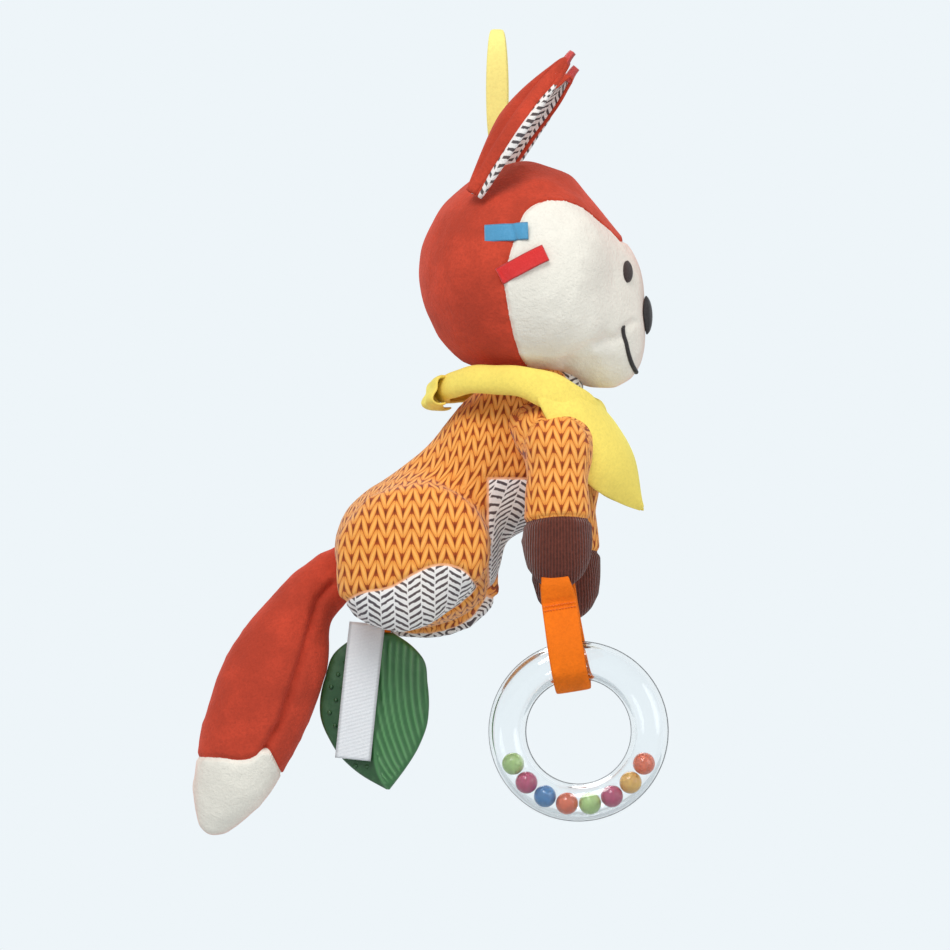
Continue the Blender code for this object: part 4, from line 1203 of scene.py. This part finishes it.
class FOX_OT_trunk(bpy.types.Operator):
    """Sew and stuff the body with its haunches, soles and chest strip"""
    bl_idname = "fox.trunk"
    bl_label = "Body"

    def execute(self, context):
        scene = context.scene
        stuffing = scene.fox_stuffing
        nodes = ["torso_cover", "belly_gusset"]
        cores = [wrap(nodes, inset=0.0006)]
        for side in SIDES:
            pair = ["haunch_" + side + "_cover", "haunch_" + side + "_sole"]
            nodes += pair
            core = wrap(pair, inset=0.0004)
            fibre_core = wrap(("haunch_" + side + "_stuffing",), detail=3, inset=0.0012)
            if side == "right":
                self.raise_front(core)
                self.raise_front(fibre_core, lift=0.0030)
            name = "haunch_" + side + "_fibre"
            piece(name, to_mesh(name, fibre_core), cloth("fibre"), "trunk", ("haunch_" + side + "_stuffing",))
            for vert in core.verts:
                inner = (vert.co - NECK).dot(RIGHTWARD) * -SIDES[side]
                if inner < 0.022:
                    vert.co += RIGHTWARD * SIDES[side] * (0.022 - inner) * 0.45
            cores.append(core)
        cores.append(blob(NECK + Vector((0.0035, 0, 0.0025)), (0.040, 0.036, 0.026)))
        cores.append(blob(Vector((-0.0285, 0, -0.1890)), (0.062, 0.067, 0.057)))
        item = stuff("body_skin", cores, stuffing.voxel * 0.85, stuffing.swell, stuffing, rounds=16, levels=0,
                     mid_plane=(NECK, RIGHTWARD))
        flatten(item.data, NECK, RIGHTWARD, AHEAD)
        divide = item.modifiers.new("fine", "SUBSURF")
        divide.levels = divide.render_levels = 2
        finished(item)
        mesh = item.data
        places, normals = spots(mesh), slopes(mesh)
        edge = self.print_edge(places)
        places = crease(places, normals, edge, scene.fox_prints.seam_depth, 0.0011, 0.0005, 240, 1.0)
        places += normals * (soft_noise(places, 45, 2.0) * 0.0007 + soft_noise(places, 110, 4.0) * 0.00028)[:, None]
        place_spots(mesh, places)
        set_field(mesh, "print_edge", self.print_edge(places))
        body = piece("body_skin", item, cloth("body"), "trunk", nodes)
        SKINS["trunk"] = skin_tree(body)
        return {"FINISHED"}

    def raise_front(self, core, lift=0.0):
        """The near haunch's foot rises towards its front."""
        middle = -0.1920
        for vert in core.verts:
            if vert.co.z < middle:
                floor = float(eased(HAUNCH_FOOT, np.array([vert.co.x]))[0]) + lift
                share = (middle - vert.co.z) / (middle + 0.2225)
                vert.co.z = middle - (middle - floor) * min(1.0, share)**0.9

    def print_edge(self, places):
        """Distance from the edge of the herringbone: above zero on it, below on the knit print."""
        shift = places - np.array(NECK)
        out = np.abs(shift @ np.array(RIGHTWARD))
        along, height = places[:, 0], places[:, 2]
        inner = np.where(shift @ np.array(RIGHTWARD) > 0, SOLE_INNER["right"], SOLE_INNER["left"])
        sole = np.minimum(eased(SOLE_TOP, along) - height, out - inner)
        sole = np.minimum(sole, 0.004 - along)
        chest = np.minimum(CHEST_HALF_WIDTH - out, along - CHEST_BACK)
        belly = np.minimum(np.minimum(BELLY_TOP - height, along - BELLY_BACK), 0.0170 - out)
        return np.maximum(sole, np.maximum(chest, belly))


class FOX_OT_arms(bpy.types.Operator):
    """Sew and stuff the sleeves and paws, and set them into the shoulders"""
    bl_idname = "fox.arms"
    bl_label = "Arms"

    def execute(self, context):
        scene = context.scene
        stuffing = scene.fox_stuffing
        for side, sign in SIDES.items():
            nodes = ("sleeve_" + side, "paw_" + side)
            joint = Vector(JOINTS["arm_" + side + "_swing"]["pos_m"])
            core = wrap(nodes, inset=0.0004)
            self.shape(core, joint, sign)
            inward = RIGHTWARD * sign
            shoulder = [blob(joint + inward * 0.0035 + UP * 0.0050, (0.0260, 0.0220, 0.0300)),
                        blob(joint + inward * 0.0095 + UP * 0.0125 - AHEAD * 0.0016, (0.0310, 0.0190, 0.0260)),
                        blob(joint + inward * 0.0145 + UP * 0.0175 - AHEAD * 0.0040, (0.0330, 0.0140, 0.0200))]
            self.filling(side, joint, sign)
            item = stuff("arm_skin_" + side, [core] + shoulder, stuffing.voxel * 0.8, stuffing.swell, stuffing,
                         rounds=6, levels=0, mid_plane=(joint, RIGHTWARD))
            flatten(item.data, joint, RIGHTWARD, AHEAD, tries=400)
            divide = item.modifiers.new("fine", "SUBSURF")
            divide.levels = divide.render_levels = 2
            finished(item)
            mesh = item.data
            places, normals = spots(mesh), slopes(mesh)
            places = crease(places, normals, self.cuff(places, joint), scene.fox_prints.seam_depth * 1.2, 0.0011,
                            0.0004, 260, 6.0 + sign)
            places += normals * (soft_noise(places, 70, 3.0 + sign) * 0.0005)[:, None]
            place_spots(mesh, places)
            set_field(mesh, "cuff", self.cuff(places, joint))
            set_field(mesh, "print_edge", np.full(len(places), -0.01))
            arm = piece("arm_skin_" + side, item, cloth("arm"), None, nodes)
            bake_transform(arm)
            SKINS["arm_" + side] = skin_tree(arm)
        self.paw_loop()
        return {"FINISHED"}

    def filling(self, side, joint, sign):
        """Fibre inside the sleeve and paw, leaning in with them."""
        node = "arm_" + side + "_stuffing"
        core = wrap((node,), detail=3, inset=0.0012)
        self.shape(core, joint, sign)
        piece(node + "_fibre", to_mesh(node + "_fibre", core), cloth("fibre"), "arm_" + side, (node,))

    def cuff(self, places, joint):
        """Distance below the cuff's arched line."""
        ahead = (places - np.array(joint)) @ np.array(AHEAD)
        line = joint.z - 0.0172 - 9.0 * (ahead - 0.003) ** 2
        return line - places[:, 2]

    def shape(self, core, joint, sign):
        """Leans the top of the arm into the body's side and fills out the paw."""
        for vert in core.verts:
            rise = vert.co.z - joint.z
            if rise > -0.004:
                share = min(1.0, (rise + 0.004) / 0.020)
                vert.co += RIGHTWARD * sign * 0.0080 * share**1.3
            paw = max(0.0, min(1.0, (-0.018 - rise) / 0.008))
            out = vert.co - joint
            vert.co += AHEAD * out.dot(AHEAD) * 0.10 * paw

    def paw_loop(self):
        """The short orange tab under the far paw, with a frayed end."""
        low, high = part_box("paw_loop_left")
        middle = (low + high) / 2
        path = [Vector((middle.x - 0.001 + 0.0002 * step, middle.y, high.z + 0.004 - 0.0011 * step))
                for step in range(10)]
        form = tape(path, AHEAD, 0.0058, 0.0022, sides=12)
        piece("far_paw_tab", to_mesh("far_paw_tab", form), cloth("orange"), "arm_left", ("paw_loop_left",))
        chains = []
        end = path[-1]
        for index in range(22):
            start = end + AHEAD * (index / 21 - 0.5) * 0.0054 + RIGHTWARD * 0.0006 * math.sin(index * 2.1)
            sway = AHEAD * 0.0011 * math.sin(index * 1.7) + RIGHTWARD * 0.0008 * math.cos(index * 2.9)
            drop = UP * (0.0016 + 0.0009 * math.sin(index * 3.7))
            chains.append([start + UP * 0.0004, start - drop * 0.5 + sway * 0.4, start - drop + sway])
        frayed = repeated("far_paw_fraying", chains, "threads", 0.00014, cloth("orange_thread"))
        piece("far_paw_fraying", frayed, cloth("orange_thread"), "arm_left", ())


class FOX_OT_tail(bpy.types.Operator):
    """Sew and stuff the tail with its fold and cream tip"""
    bl_idname = "fox.tail"
    bl_label = "Tail"

    def execute(self, context):
        scene = context.scene
        stuffing = scene.fox_stuffing
        nodes = ("tail_cover", "tail_tip")
        hinge = Vector(JOINTS["tail_swing"]["pos_m"])
        roots = [blob(hinge + Vector((0.0092, 0, 0.0056)), (0.020, 0.018, 0.027), Matrix.Rotation(0.35, 3, "Y")),
                 blob(hinge + Vector((0.0008, 0, -0.0030)), (0.0225, 0.023, 0.036), Matrix.Rotation(0.45, 3, "Y"))]
        item = stuff("tail_skin", [wrap(nodes, inset=0.0005)] + roots, stuffing.voxel, stuffing.swell, stuffing,
                     rounds=4, levels=2)
        finished(item)
        mesh = item.data
        places, normals = spots(mesh), slopes(mesh)
        fold = line_distance(TAIL_FOLD, places[:, 0], places[:, 2])
        places = crease(places, normals, fold, 0.0024, 0.0016, 0.0006, 180, 2.0)
        places = crease(places, normals, self.tip_gap(places), scene.fox_prints.seam_depth, 0.0010, 0.0004, 240, 8.0)
        places += normals * (soft_noise(places, 50, 7.0) * 0.0007 + soft_noise(places, 120, 1.0) * 0.00025)[:, None]
        place_spots(mesh, places)
        set_field(mesh, "cream_edge", self.tip_gap(places))
        tail = piece("tail_skin", item, cloth("hood"), None, nodes)
        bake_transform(tail)
        return {"FINISHED"}

    def tip_gap(self, places):
        return eased(TIP_EDGE, places[:, 0]) - places[:, 2]


class FOX_OT_scarf(bpy.types.Operator):
    """Fold the neckerchief round the neck, with its knot and its pointed flap"""
    bl_idname = "fox.scarf"
    bl_label = "Scarf"

    def execute(self, context):
        self.band()
        self.knot()
        self.flap()
        return {"FINISHED"}

    def strip(self, name, profile, turns, steps, thickness):
        """A folded strip round the neck: profile gives (out, height share) points from top to bottom."""
        form = bmesh.new()
        rings = []
        whole = abs(turns[1] - turns[0]) > 359
        count = steps if whole else steps + 1
        for index in range(count):
            angle = math.radians(turns[0] + (turns[1] - turns[0]) * index / steps)
            c, s = math.cos(angle), math.sin(angle)
            top, low = float(eased(SCARF_TOP, np.array([c]))[0]), float(eased(SCARF_LOW, np.array([c]))[0])
            wave = 0.0006 * math.sin(5 * angle + 0.6) + 0.0004 * math.sin(11 * angle)
            ring = []
            for out, share in profile:
                radius = 0.0268 + out + wave * (0.4 + share)
                spot = NECK + AHEAD * c * radius * 1.06 - RIGHTWARD * s * radius
                spot.z = top + (low - top) * share + wave * 0.5
                ring.append(form.verts.new(spot))
            rings.append(ring)
        for index in range(steps):
            here, there = rings[index], rings[(index + 1) % count]
            for step in range(len(profile) - 1):
                form.faces.new((here[step], here[step + 1], there[step + 1], there[step]))
        item = in_scene(name, to_mesh(name, form))
        wall = item.modifiers.new("cloth_wall", "SOLIDIFY")
        wall.thickness = thickness
        wall.offset = 0.0
        soften = item.modifiers.new("soft", "SUBSURF")
        soften.levels = soften.render_levels = 2
        return finished(item)

    def band(self):
        profile = [(-0.0030, 0.30), (-0.0024, 0.06), (-0.0006, -0.03), (0.0013, 0.10), (0.0022, 0.34),
                   (0.0025, 0.60), (0.0020, 0.84), (0.0004, 1.02), (-0.0014, 0.96)]
        item = self.strip("scarf_band_cloth", profile, (0, 360), 72, 0.0011)
        made = piece("scarf_band_cloth", item, cloth("yellow"), "trunk", ("scarf_band",))

    def knot(self):
        profile = [(0.0014, 0.16), (0.0040, 0.10), (0.0056, 0.36), (0.0050, 0.66), (0.0066, 0.86), (0.0074, 1.12),
                   (0.0046, 1.34), (0.0010, 1.22)]
        item = self.strip("scarf_knot_cloth", profile, (148, 212), 20, 0.0012)
        made = piece("scarf_knot_cloth", item, cloth("yellow"), "trunk", ("scarf_knot",))

    def flap(self):
        """The kerchief's point: its top edge goes under the band, its sides run round the chest."""
        rows, columns = 30, 36
        centre = smooth_path([(0.0352, 0, -0.1345), (0.0430, 0, -0.1440), (0.0494, 0, -0.1565), (0.0524, 0, -0.1740)],
                             rows + 1)
        edges = {sign: smooth_path([(0.0150, 0.0275 * sign, -0.1340), (0.0215, 0.0262 * sign, -0.1470),
                                    (0.0335, 0.0195 * sign, -0.1655), (0.0440, 0.0095 * sign, -0.1722),
                                    (0.0527, 0, -0.1752)], rows + 1) for sign in (-1, 1)}
        turn = Matrix.Rotation(math.atan2(AHEAD.y, AHEAD.x), 3, "Z")
        middle = Vector((NECK.x, NECK.y, 0))
        form = bmesh.new()
        grid = []
        for row in range(rows + 1):
            line = []
            for column in range(columns + 1):
                across = 2 * column / columns - 1
                edge = edges[1 if across > 0 else -1][row]
                bow = abs(across) ** 1.8
                spot = centre[row].lerp(edge, bow)
                spot.y = edge.y * math.sin(abs(across) * math.pi / 2) ** 0.9
                ripple = 0.0007 * math.sin(across * 5 + row * 0.12) * row / rows
                spot.x += ripple
                line.append(form.verts.new(middle + turn @ (spot - middle)))
            grid.append(line)
        for low, high in zip(grid, grid[1:]):
            for column in range(columns):
                form.faces.new((low[column], high[column], high[column + 1], low[column + 1]))
        bmesh.ops.remove_doubles(form, verts=form.verts, dist=0.00002)
        bmesh.ops.recalc_face_normals(form, faces=form.faces)
        item = in_scene("scarf_flap_cloth", to_mesh("scarf_flap_cloth", form))
        wall = item.modifiers.new("cloth_wall", "SOLIDIFY")
        wall.thickness = 0.0013
        wall.offset = 0.0
        soften = item.modifiers.new("soft", "SUBSURF")
        soften.levels = soften.render_levels = 1
        finished(item)
        made = piece("scarf_flap_cloth", item, cloth("yellow"), None, ("scarf_flap",))
        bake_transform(made)


class FOX_OT_hanging_loop(bpy.types.Operator):
    """Fold the yellow tape that the toy hangs by"""
    bl_idname = "fox.hanging_loop"
    bl_label = "Hanging Loop"

    def execute(self, context):
        low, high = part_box("hanging_loop")
        half = (high.y - low.y) / 2 - 0.0008
        bottom = low.z - 0.0012
        points = [(0.0, -0.0011, bottom), (0.0, -0.0016, bottom + 0.005), (0.0, -half * 0.72, bottom + 0.014),
                  (0.0, -half, -0.018), (0.0, -half * 0.95, -0.006), (0.0, -half * 0.55, -0.0006),
                  (0.0, 0.0, 0.0006), (0.0, half * 0.55, -0.0006), (0.0, half * 0.95, -0.006), (0.0, half, -0.018),
                  (0.0, half * 0.72, bottom + 0.014), (0.0, 0.0016, bottom + 0.005), (0.0, 0.0011, bottom)]
        path = smooth_path(points, 90)
        width = lambda t: 0.0034 + 0.0040 * math.sin(math.pi * min(abs(2 * t - 1) * 1.12, 1.0)) ** 0.55 + 0.0012 * abs(
            2 * t - 1)
        form = tape(path, Vector((1, 0.15, 0)), width, 0.0014, sides=16, square=3.0)
        made = piece("loop_tape", to_mesh("loop_tape", form), cloth("pale_yellow"), None, ("hanging_loop",))
        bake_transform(made)
        return {"FINISHED"}


class FOX_OT_strap(bpy.types.Operator):
    """Fold the orange strap over the paw and round the ring, and stitch it"""
    bl_idname = "fox.strap"
    bl_label = "Ring Strap"

    def execute(self, context):
        top = Vector(JOINTS["strap_swing"]["pos_m"])
        loop = Vector(JOINTS["ring_flap"]["pos_m"])
        down = Vector((loop.x - top.x - 0.0035, 0, loop.z - top.z)).normalized()
        out = RIGHTWARD
        ring_at = -(loop.z - top.z) / -down.z
        near, far = 0.0100, -0.0100
        points = [(0.0026, -0.0075), (0.0058, -0.0035), (0.0046, 0.0010), (0.0034, 0.0042), (0.0052, 0.0100),
                  (near * 0.93, ring_at - 0.006), (near, ring_at), (near * 0.80, ring_at + 0.0062),
                  (0.0, ring_at + 0.0108), (far * 0.80, ring_at + 0.0062), (far, ring_at),
                  (far * 0.93, ring_at - 0.006), (-0.0046, 0.0100), (-0.0030, 0.0042), (-0.0040, 0.0008),
                  (-0.0040, -0.0060)]
        path = smooth_path([top + out * side + down * drop for side, drop in points], 120)
        across = down.cross(out).normalized()
        form = tape(path, across, lambda t: 0.0128 - 0.0030 * math.exp(-((t - 0.02) / 0.06) ** 2), 0.0017, sides=16)
        made = piece("strap_tape", to_mesh("strap_tape", form), cloth("orange"), None, ("ring_strap",))
        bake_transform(made)
        chains = []
        for drop in (0.0046, 0.0062):
            for step in range(11):
                middle = across * (step / 10 - 0.5) * 0.0108
                spot = top + down * drop + middle + out * 0.0050
                chains.append([spot - across * 0.0004 - out * 0.0004, spot + out * 0.0002,
                               spot + across * 0.0004 - out * 0.0004])
        seam = repeated("strap_stitches", chains, "threads", 0.00016, cloth("orange_thread"))
        piece("strap_stitches", seam, cloth("orange_thread"), "strap", ())
        return {"FINISHED"}


class FOX_OT_ring(bpy.types.Operator):
    """Mould the clear ring and drop its beads in"""
    bl_idname = "fox.ring"
    bl_label = "Bead Ring"

    def execute(self, context):
        hub = Vector(JOINTS["bead_1_roll"]["pos_m"])
        size = box_middle("ring_front_shell")[1]
        self.tube(hub, size.z / 2 - TUBE_RADIUS)
        for index in range(8):
            node = "bead_" + str(index + 1)
            slot = next(item["material_slot"] for item in frame["record"]["subparts"] if item["node"] == node)
            colour = next(item["base_color"] for item in frame["record"]["materials"] if item["slot"] == slot)
            self.bead(node, slot, colour[:3], hub)
        return {"FINISHED"}

    def tube(self, hub, middle):
        """Two skins, outside and inside of the hollow tube, with a fine weld line round it."""
        form = bmesh.new()
        for radius, inward in ((TUBE_RADIUS, False), (TUBE_RADIUS - TUBE_WALL, True)):
            rings = []
            for turn in range(128):
                angle = 2 * math.pi * turn / 128
                way = AHEAD * math.cos(angle) + UP * math.sin(angle)
                ring = []
                for step in range(32):
                    bend = 2 * math.pi * step / 32
                    weld = 0.00012 if step in (0, 16) and not inward else 0.0
                    spot = hub + way * (middle + (radius + weld) * math.cos(bend))
                    ring.append(form.verts.new(spot + RIGHTWARD * (radius + weld) * math.sin(bend)))
                rings.append(ring)
            for turn in range(128):
                here, there = rings[turn], rings[(turn + 1) % 128]
                for step in range(32):
                    face = form.faces.new((here[step], here[(step + 1) % 32], there[(step + 1) % 32], there[step]))
                    face.normal_update()
                    if (face.normal.dot(self.tube_way(face, hub, middle)) > 0) == inward:
                        face.normal_flip()
        piece("ring_tube", to_mesh("ring_tube", form), cloth("clear"), "ring", ("ring_front_shell", "ring_rear_shell"))

    def tube_way(self, face, hub, middle):
        """Out of the tube's middle line, at a face."""
        spot = face.calc_center_median() - hub
        flat = spot - spot.dot(RIGHTWARD) * RIGHTWARD
        return spot - flat.normalized() * middle

    def bead(self, node, slot, colour, hub):
        """A turned ball with a fine mould line and a flat gate mark."""
        centre, size = box_middle(node)
        radius = max(size) / 2
        form = bmesh.new()
        bmesh.ops.create_uvsphere(form, u_segments=40, v_segments=24, radius=radius)
        for vert in form.verts:
            lift = 1 + 0.010 * math.exp(-(vert.co.y / (radius * 0.05)) ** 2)
            if vert.co.z > radius * 0.985:
                vert.co.z = radius * 0.985
            vert.co = centre + vert.co * lift
        name = node + "_ball"
        piece(name, to_mesh(name, form), bead_gloss(name + "_gloss", colour), node, (node,))


class FOX_OT_teether(bpy.types.Operator):
    """Mould the leaf with its ridges and nubs, and hang it on its ribbon"""
    bl_idname = "fox.teether"
    bl_label = "Leaf Teether"

    def execute(self, context):
        seam = Vector(JOINTS["teether_swing"]["pos_m"])
        low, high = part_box("leaf_teether")
        lean = math.radians(4.0)
        down = Vector((-math.sin(lean) * AHEAD.x, -math.sin(lean) * AHEAD.y, -math.cos(lean))).normalized()
        across = RIGHTWARD.cross(down).normalized()
        if across.dot(AHEAD) < 0:
            across = -across
        stalk = seam + down * 0.0050
        length = 0.0572
        nubs = self.leaf(stalk, down, across, length)
        bumps = repeated("leaf_nubs", nubs, "nubs", 0.00085, cloth("leaf"))
        set_field(bumps.data, "nubbed", np.full(len(bumps.data.vertices), 0.01))
        set_field(bumps.data, "relief", np.full(len(bumps.data.vertices), 0.6))
        piece("leaf_nubs", bumps, cloth("leaf"), "teether", ())
        path = [seam + UP * 0.004 + down * 0.0013 * step for step in range(9)]
        form = tape(path, across, 0.0078, 0.0017, sides=12)
        piece("leaf_ribbon", to_mesh("leaf_ribbon", form), cloth("orange"), "teether", ("teether_ribbon",))
        return {"FINISHED"}

    def leaf(self, stalk, down, across, length):
        """A pillowed leaf: ridges curve over its front half, nubs stand on its back half."""
        rows, columns = 110, 72
        form = bmesh.new()
        relief = form.verts.layers.float.new("relief")
        nubbed = form.verts.layers.float.new("nubbed")
        steps = np.linspace(0, 1, rows + 1)
        halves, drifts = eased(LEAF_HALF, steps), eased(LEAF_DRIFT, steps)
        grids = {}
        nubs = []
        for face in (1, -1):
            grid = []
            for row, t in enumerate(steps):
                line = []
                for column in range(columns + 1):
                    u = 2 * column / columns - 1
                    if abs(u) == 1.0 and face == -1:
                        line.append(grids[1][row][column])
                        continue
                    side = halves[row] * math.sin(u * math.pi / 2)
                    rim = max(1 - abs(math.sin(u * math.pi / 2)) ** 6, 0.0) ** 0.5
                    ends = min(1.0, (1 - t) / 0.035 + 0.15) * min(1.0, t / 0.02 + 0.35)
                    deep = 0.0021 * rim * ends
                    ridge = 0.0
                    if side > 0.0012:
                        phase = (side - 0.0012 - 0.0125 * t**2) / 0.0026
                        wave = 0.5 + 0.5 * math.cos(2 * math.pi * phase)
                        edge_fade = min(1.0, max(0.0, (halves[row] - abs(side)) / 0.0022))
                        top_fade = min(1.0, max(0.0, (t - 0.03) / 0.05)) * min(1.0, max(0.0, (0.97 - t) / 0.05))
                        ridge = wave**2 * edge_fade * top_fade
                    rib = math.exp(-(side / 0.0009) ** 2) * 0.9
                    lip = math.exp(-((halves[row] - abs(side)) / 0.0010) ** 2) * 0.6
                    height = deep + 0.0007 * max(ridge, rib, lip) * rim * ends
                    spot = stalk + down * t * length + across * (side + drifts[row]) + RIGHTWARD * face * height
                    vert = form.verts.new(spot)
                    vert[relief] = max(ridge, rib * 0.5)
                    vert[nubbed] = -side - 0.0006
                    line.append(vert)
                grid.append(line)
            grids[face] = grid
            for low, high in zip(grid, grid[1:]):
                for column in range(columns):
                    corners = (low[column], low[column + 1], high[column + 1], high[column])
                    form.faces.new(corners if face == 1 else corners[::-1])
            for row in range(14, rows - 12, 9):
                for column in range(4):
                    offset = -0.0035 - 0.0042 * column - (0.0021 if (row // 9) % 2 else 0.0)
                    if -offset < halves[row] - 0.0022:
                        spot = stalk + down * steps[row] * length + across * (offset + drifts[row])
                        nubs.append([spot + RIGHTWARD * face * 0.0019])
        for row in (0, rows):
            loop = grids[1][row] + grids[-1][row][-2:0:-1]
            form.faces.new(loop)
        bmesh.ops.recalc_face_normals(form, faces=form.faces)
        piece("leaf_body", to_mesh("leaf_body", form), cloth("leaf"), "teether", ("leaf_teether",))
        return nubs


class FOX_OT_label(bpy.types.Operator):
    """Hang the plain satin label from the seat seam"""
    bl_idname = "fox.label"
    bl_label = "Care Label"

    def execute(self, context):
        top = Vector(JOINTS["label_swing"]["pos_m"])
        low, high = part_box("care_label")
        length = (high.z - low.z) / math.cos(math.radians(6.0))
        down = Vector((-math.sin(math.radians(6.0)), 0, -math.cos(math.radians(6.0))))
        path = []
        for step in range(41):
            share = step / 40
            sway = 0.0009 * math.sin(share * 4.2) + 0.0012 * share
            path.append(top + UP * 0.0030 + down * share * (length + 0.002) + RIGHTWARD * sway)
        across = RIGHTWARD.cross(down).normalized()
        form = tape(path, across, 0.0131, 0.00055, sides=20, square=8.0)
        made = piece("label_satin", to_mesh("label_satin", form), cloth("label"), None, ("care_label",))
        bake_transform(made)
        return {"FINISHED"}


class FOX_OT_fillings(bpy.types.Operator):
    """Give the hidden fibre its own finish"""
    bl_idname = "fox.fillings"
    bl_label = "Fillings"

    def execute(self, context):
        for name, item in frame["nodes"].items():
            if name.endswith("stuffing"):
                item.data.materials.clear()
                item.data.materials.append(cloth("fibre"))
        return {"FINISHED"}


class FOX_OT_stage(bpy.types.Operator):
    """Set the pale floor, soft studio light and the camera"""
    bl_idname = "fox.stage"
    bl_label = "Stage"

    def execute(self, context):
        scene = context.scene
        scene.view_settings.view_transform = "Standard"
        self.floor()
        self.world(scene)
        self.light("key", (-0.35, -1.15, 0.95), 0.8, 13.5)
        self.light("fill", (1.15, -0.75, 0.15), 0.9, 4.0)
        self.light("rim", (-0.3, 1.1, 0.8), 0.8, 4.0)
        self.camera(scene)
        return {"FINISHED"}

    def floor(self):
        form = bmesh.new()
        bmesh.ops.create_circle(form, cap_ends=True, segments=96, radius=0.45)
        bmesh.ops.translate(form, vec=(0, 0, -0.345), verts=form.verts)
        item = in_scene("studio_floor", to_mesh("studio_floor", form))
        material, tree, shader = finish("pale_floor", (0.60, 0.64, 0.66), 0.8)
        wires = Wiring(tree)
        grain = wires.noise(wires.place(), 30, 3.0)
        wires.link(wires.blend(grain, (0.58, 0.62, 0.64), (0.62, 0.66, 0.68)), shader.inputs["Base Color"])
        item.data.materials.append(material)

    def world(self, scene):
        scene.world = bpy.data.worlds.new("studio")
        scene.world.use_nodes = True
        wires = Wiring(scene.world.node_tree)
        back = scene.world.node_tree.nodes["Background"]
        back.inputs["Color"].default_value = (0.855, 0.913, 0.947, 1)
        rays = wires.node("ShaderNodeLightPath").outputs
        seen = wires.math("MAXIMUM", rays["Is Camera Ray"], rays["Is Transmission Ray"])
        wires.link(wires.ramp(seen, 0.0, 1.0, 0.68, 1.0), back.inputs["Strength"])

    def light(self, name, place, size, power):
        lamp = bpy.data.lights.new(name, "AREA")
        lamp.shape = "DISK"
        lamp.size = size
        lamp.energy = power
        item = bpy.data.objects.new(name, lamp)
        item.location = place
        aim = Vector((-0.01, 0, -0.15)) - item.location
        item.rotation_euler = aim.to_track_quat("-Z", "Y").to_euler()
        bpy.context.scene.collection.objects.link(item)

    def camera(self, scene):
        """Long lens, nearly level: a little ahead of the fox's right side and a little below it."""
        aim = Vector((-0.0082, 0, -0.1620))
        azimuth, elevation, distance = math.radians(2.0), math.radians(-3.0), 3.2
        back = Vector((math.sin(azimuth) * math.cos(elevation), -math.cos(azimuth) * math.cos(elevation),
                       math.sin(elevation)))
        data = bpy.data.cameras.new("camera")
        data.sensor_width = 36.0
        data.lens = 36.0 * distance / 0.34675
        data.clip_end = 20.0
        item = bpy.data.objects.new("camera", data)
        item.location = aim + back * distance
        item.rotation_euler = (-back).to_track_quat("-Z", "Y").to_euler()
        scene.collection.objects.link(item)
        scene.camera = item


STEPS = (FOX_OT_stage, FOX_OT_fillings, FOX_OT_head, FOX_OT_face_stitching, FOX_OT_ribbons, FOX_OT_ears, FOX_OT_trunk,
         FOX_OT_arms, FOX_OT_tail, FOX_OT_scarf, FOX_OT_hanging_loop, FOX_OT_strap, FOX_OT_ring, FOX_OT_teether,
         FOX_OT_label)
GROUPS = {"fox_prints": FOX_PG_prints, "fox_stuffing": FOX_PG_stuffing, "fox_colours": FOX_PG_colours}


class FOX_PT_panel(bpy.types.Panel):
    """Lists the steps that build the toy"""
    bl_label = "Fox Rattle"
    bl_space_type = "VIEW_3D"
    bl_region_type = "UI"
    bl_category = "Fox Rattle"

    def draw(self, context):
        for step in STEPS:
            self.layout.operator(step.bl_idname)
        for name, group in GROUPS.items():
            box = self.layout.box()
            for key in group.__annotations__:
                box.prop(getattr(context.scene, name), key)


def register():
    for kind in (*GROUPS.values(), *STEPS, FOX_PT_panel):
        bpy.utils.register_class(kind)
    for name, group in GROUPS.items():
        setattr(bpy.types.Scene, name, bpy.props.PointerProperty(type=group))


def unregister():
    for name in GROUPS:
        delattr(bpy.types.Scene, name)
    for kind in (FOX_PT_panel, *reversed(STEPS), *reversed(GROUPS.values())):
        bpy.utils.unregister_class(kind)


def main():
    register()
    for step in STEPS:
        group, name = step.bl_idname.split(".")
        getattr(getattr(bpy.ops, group), name)()


if __name__ == "__main__":
    main()
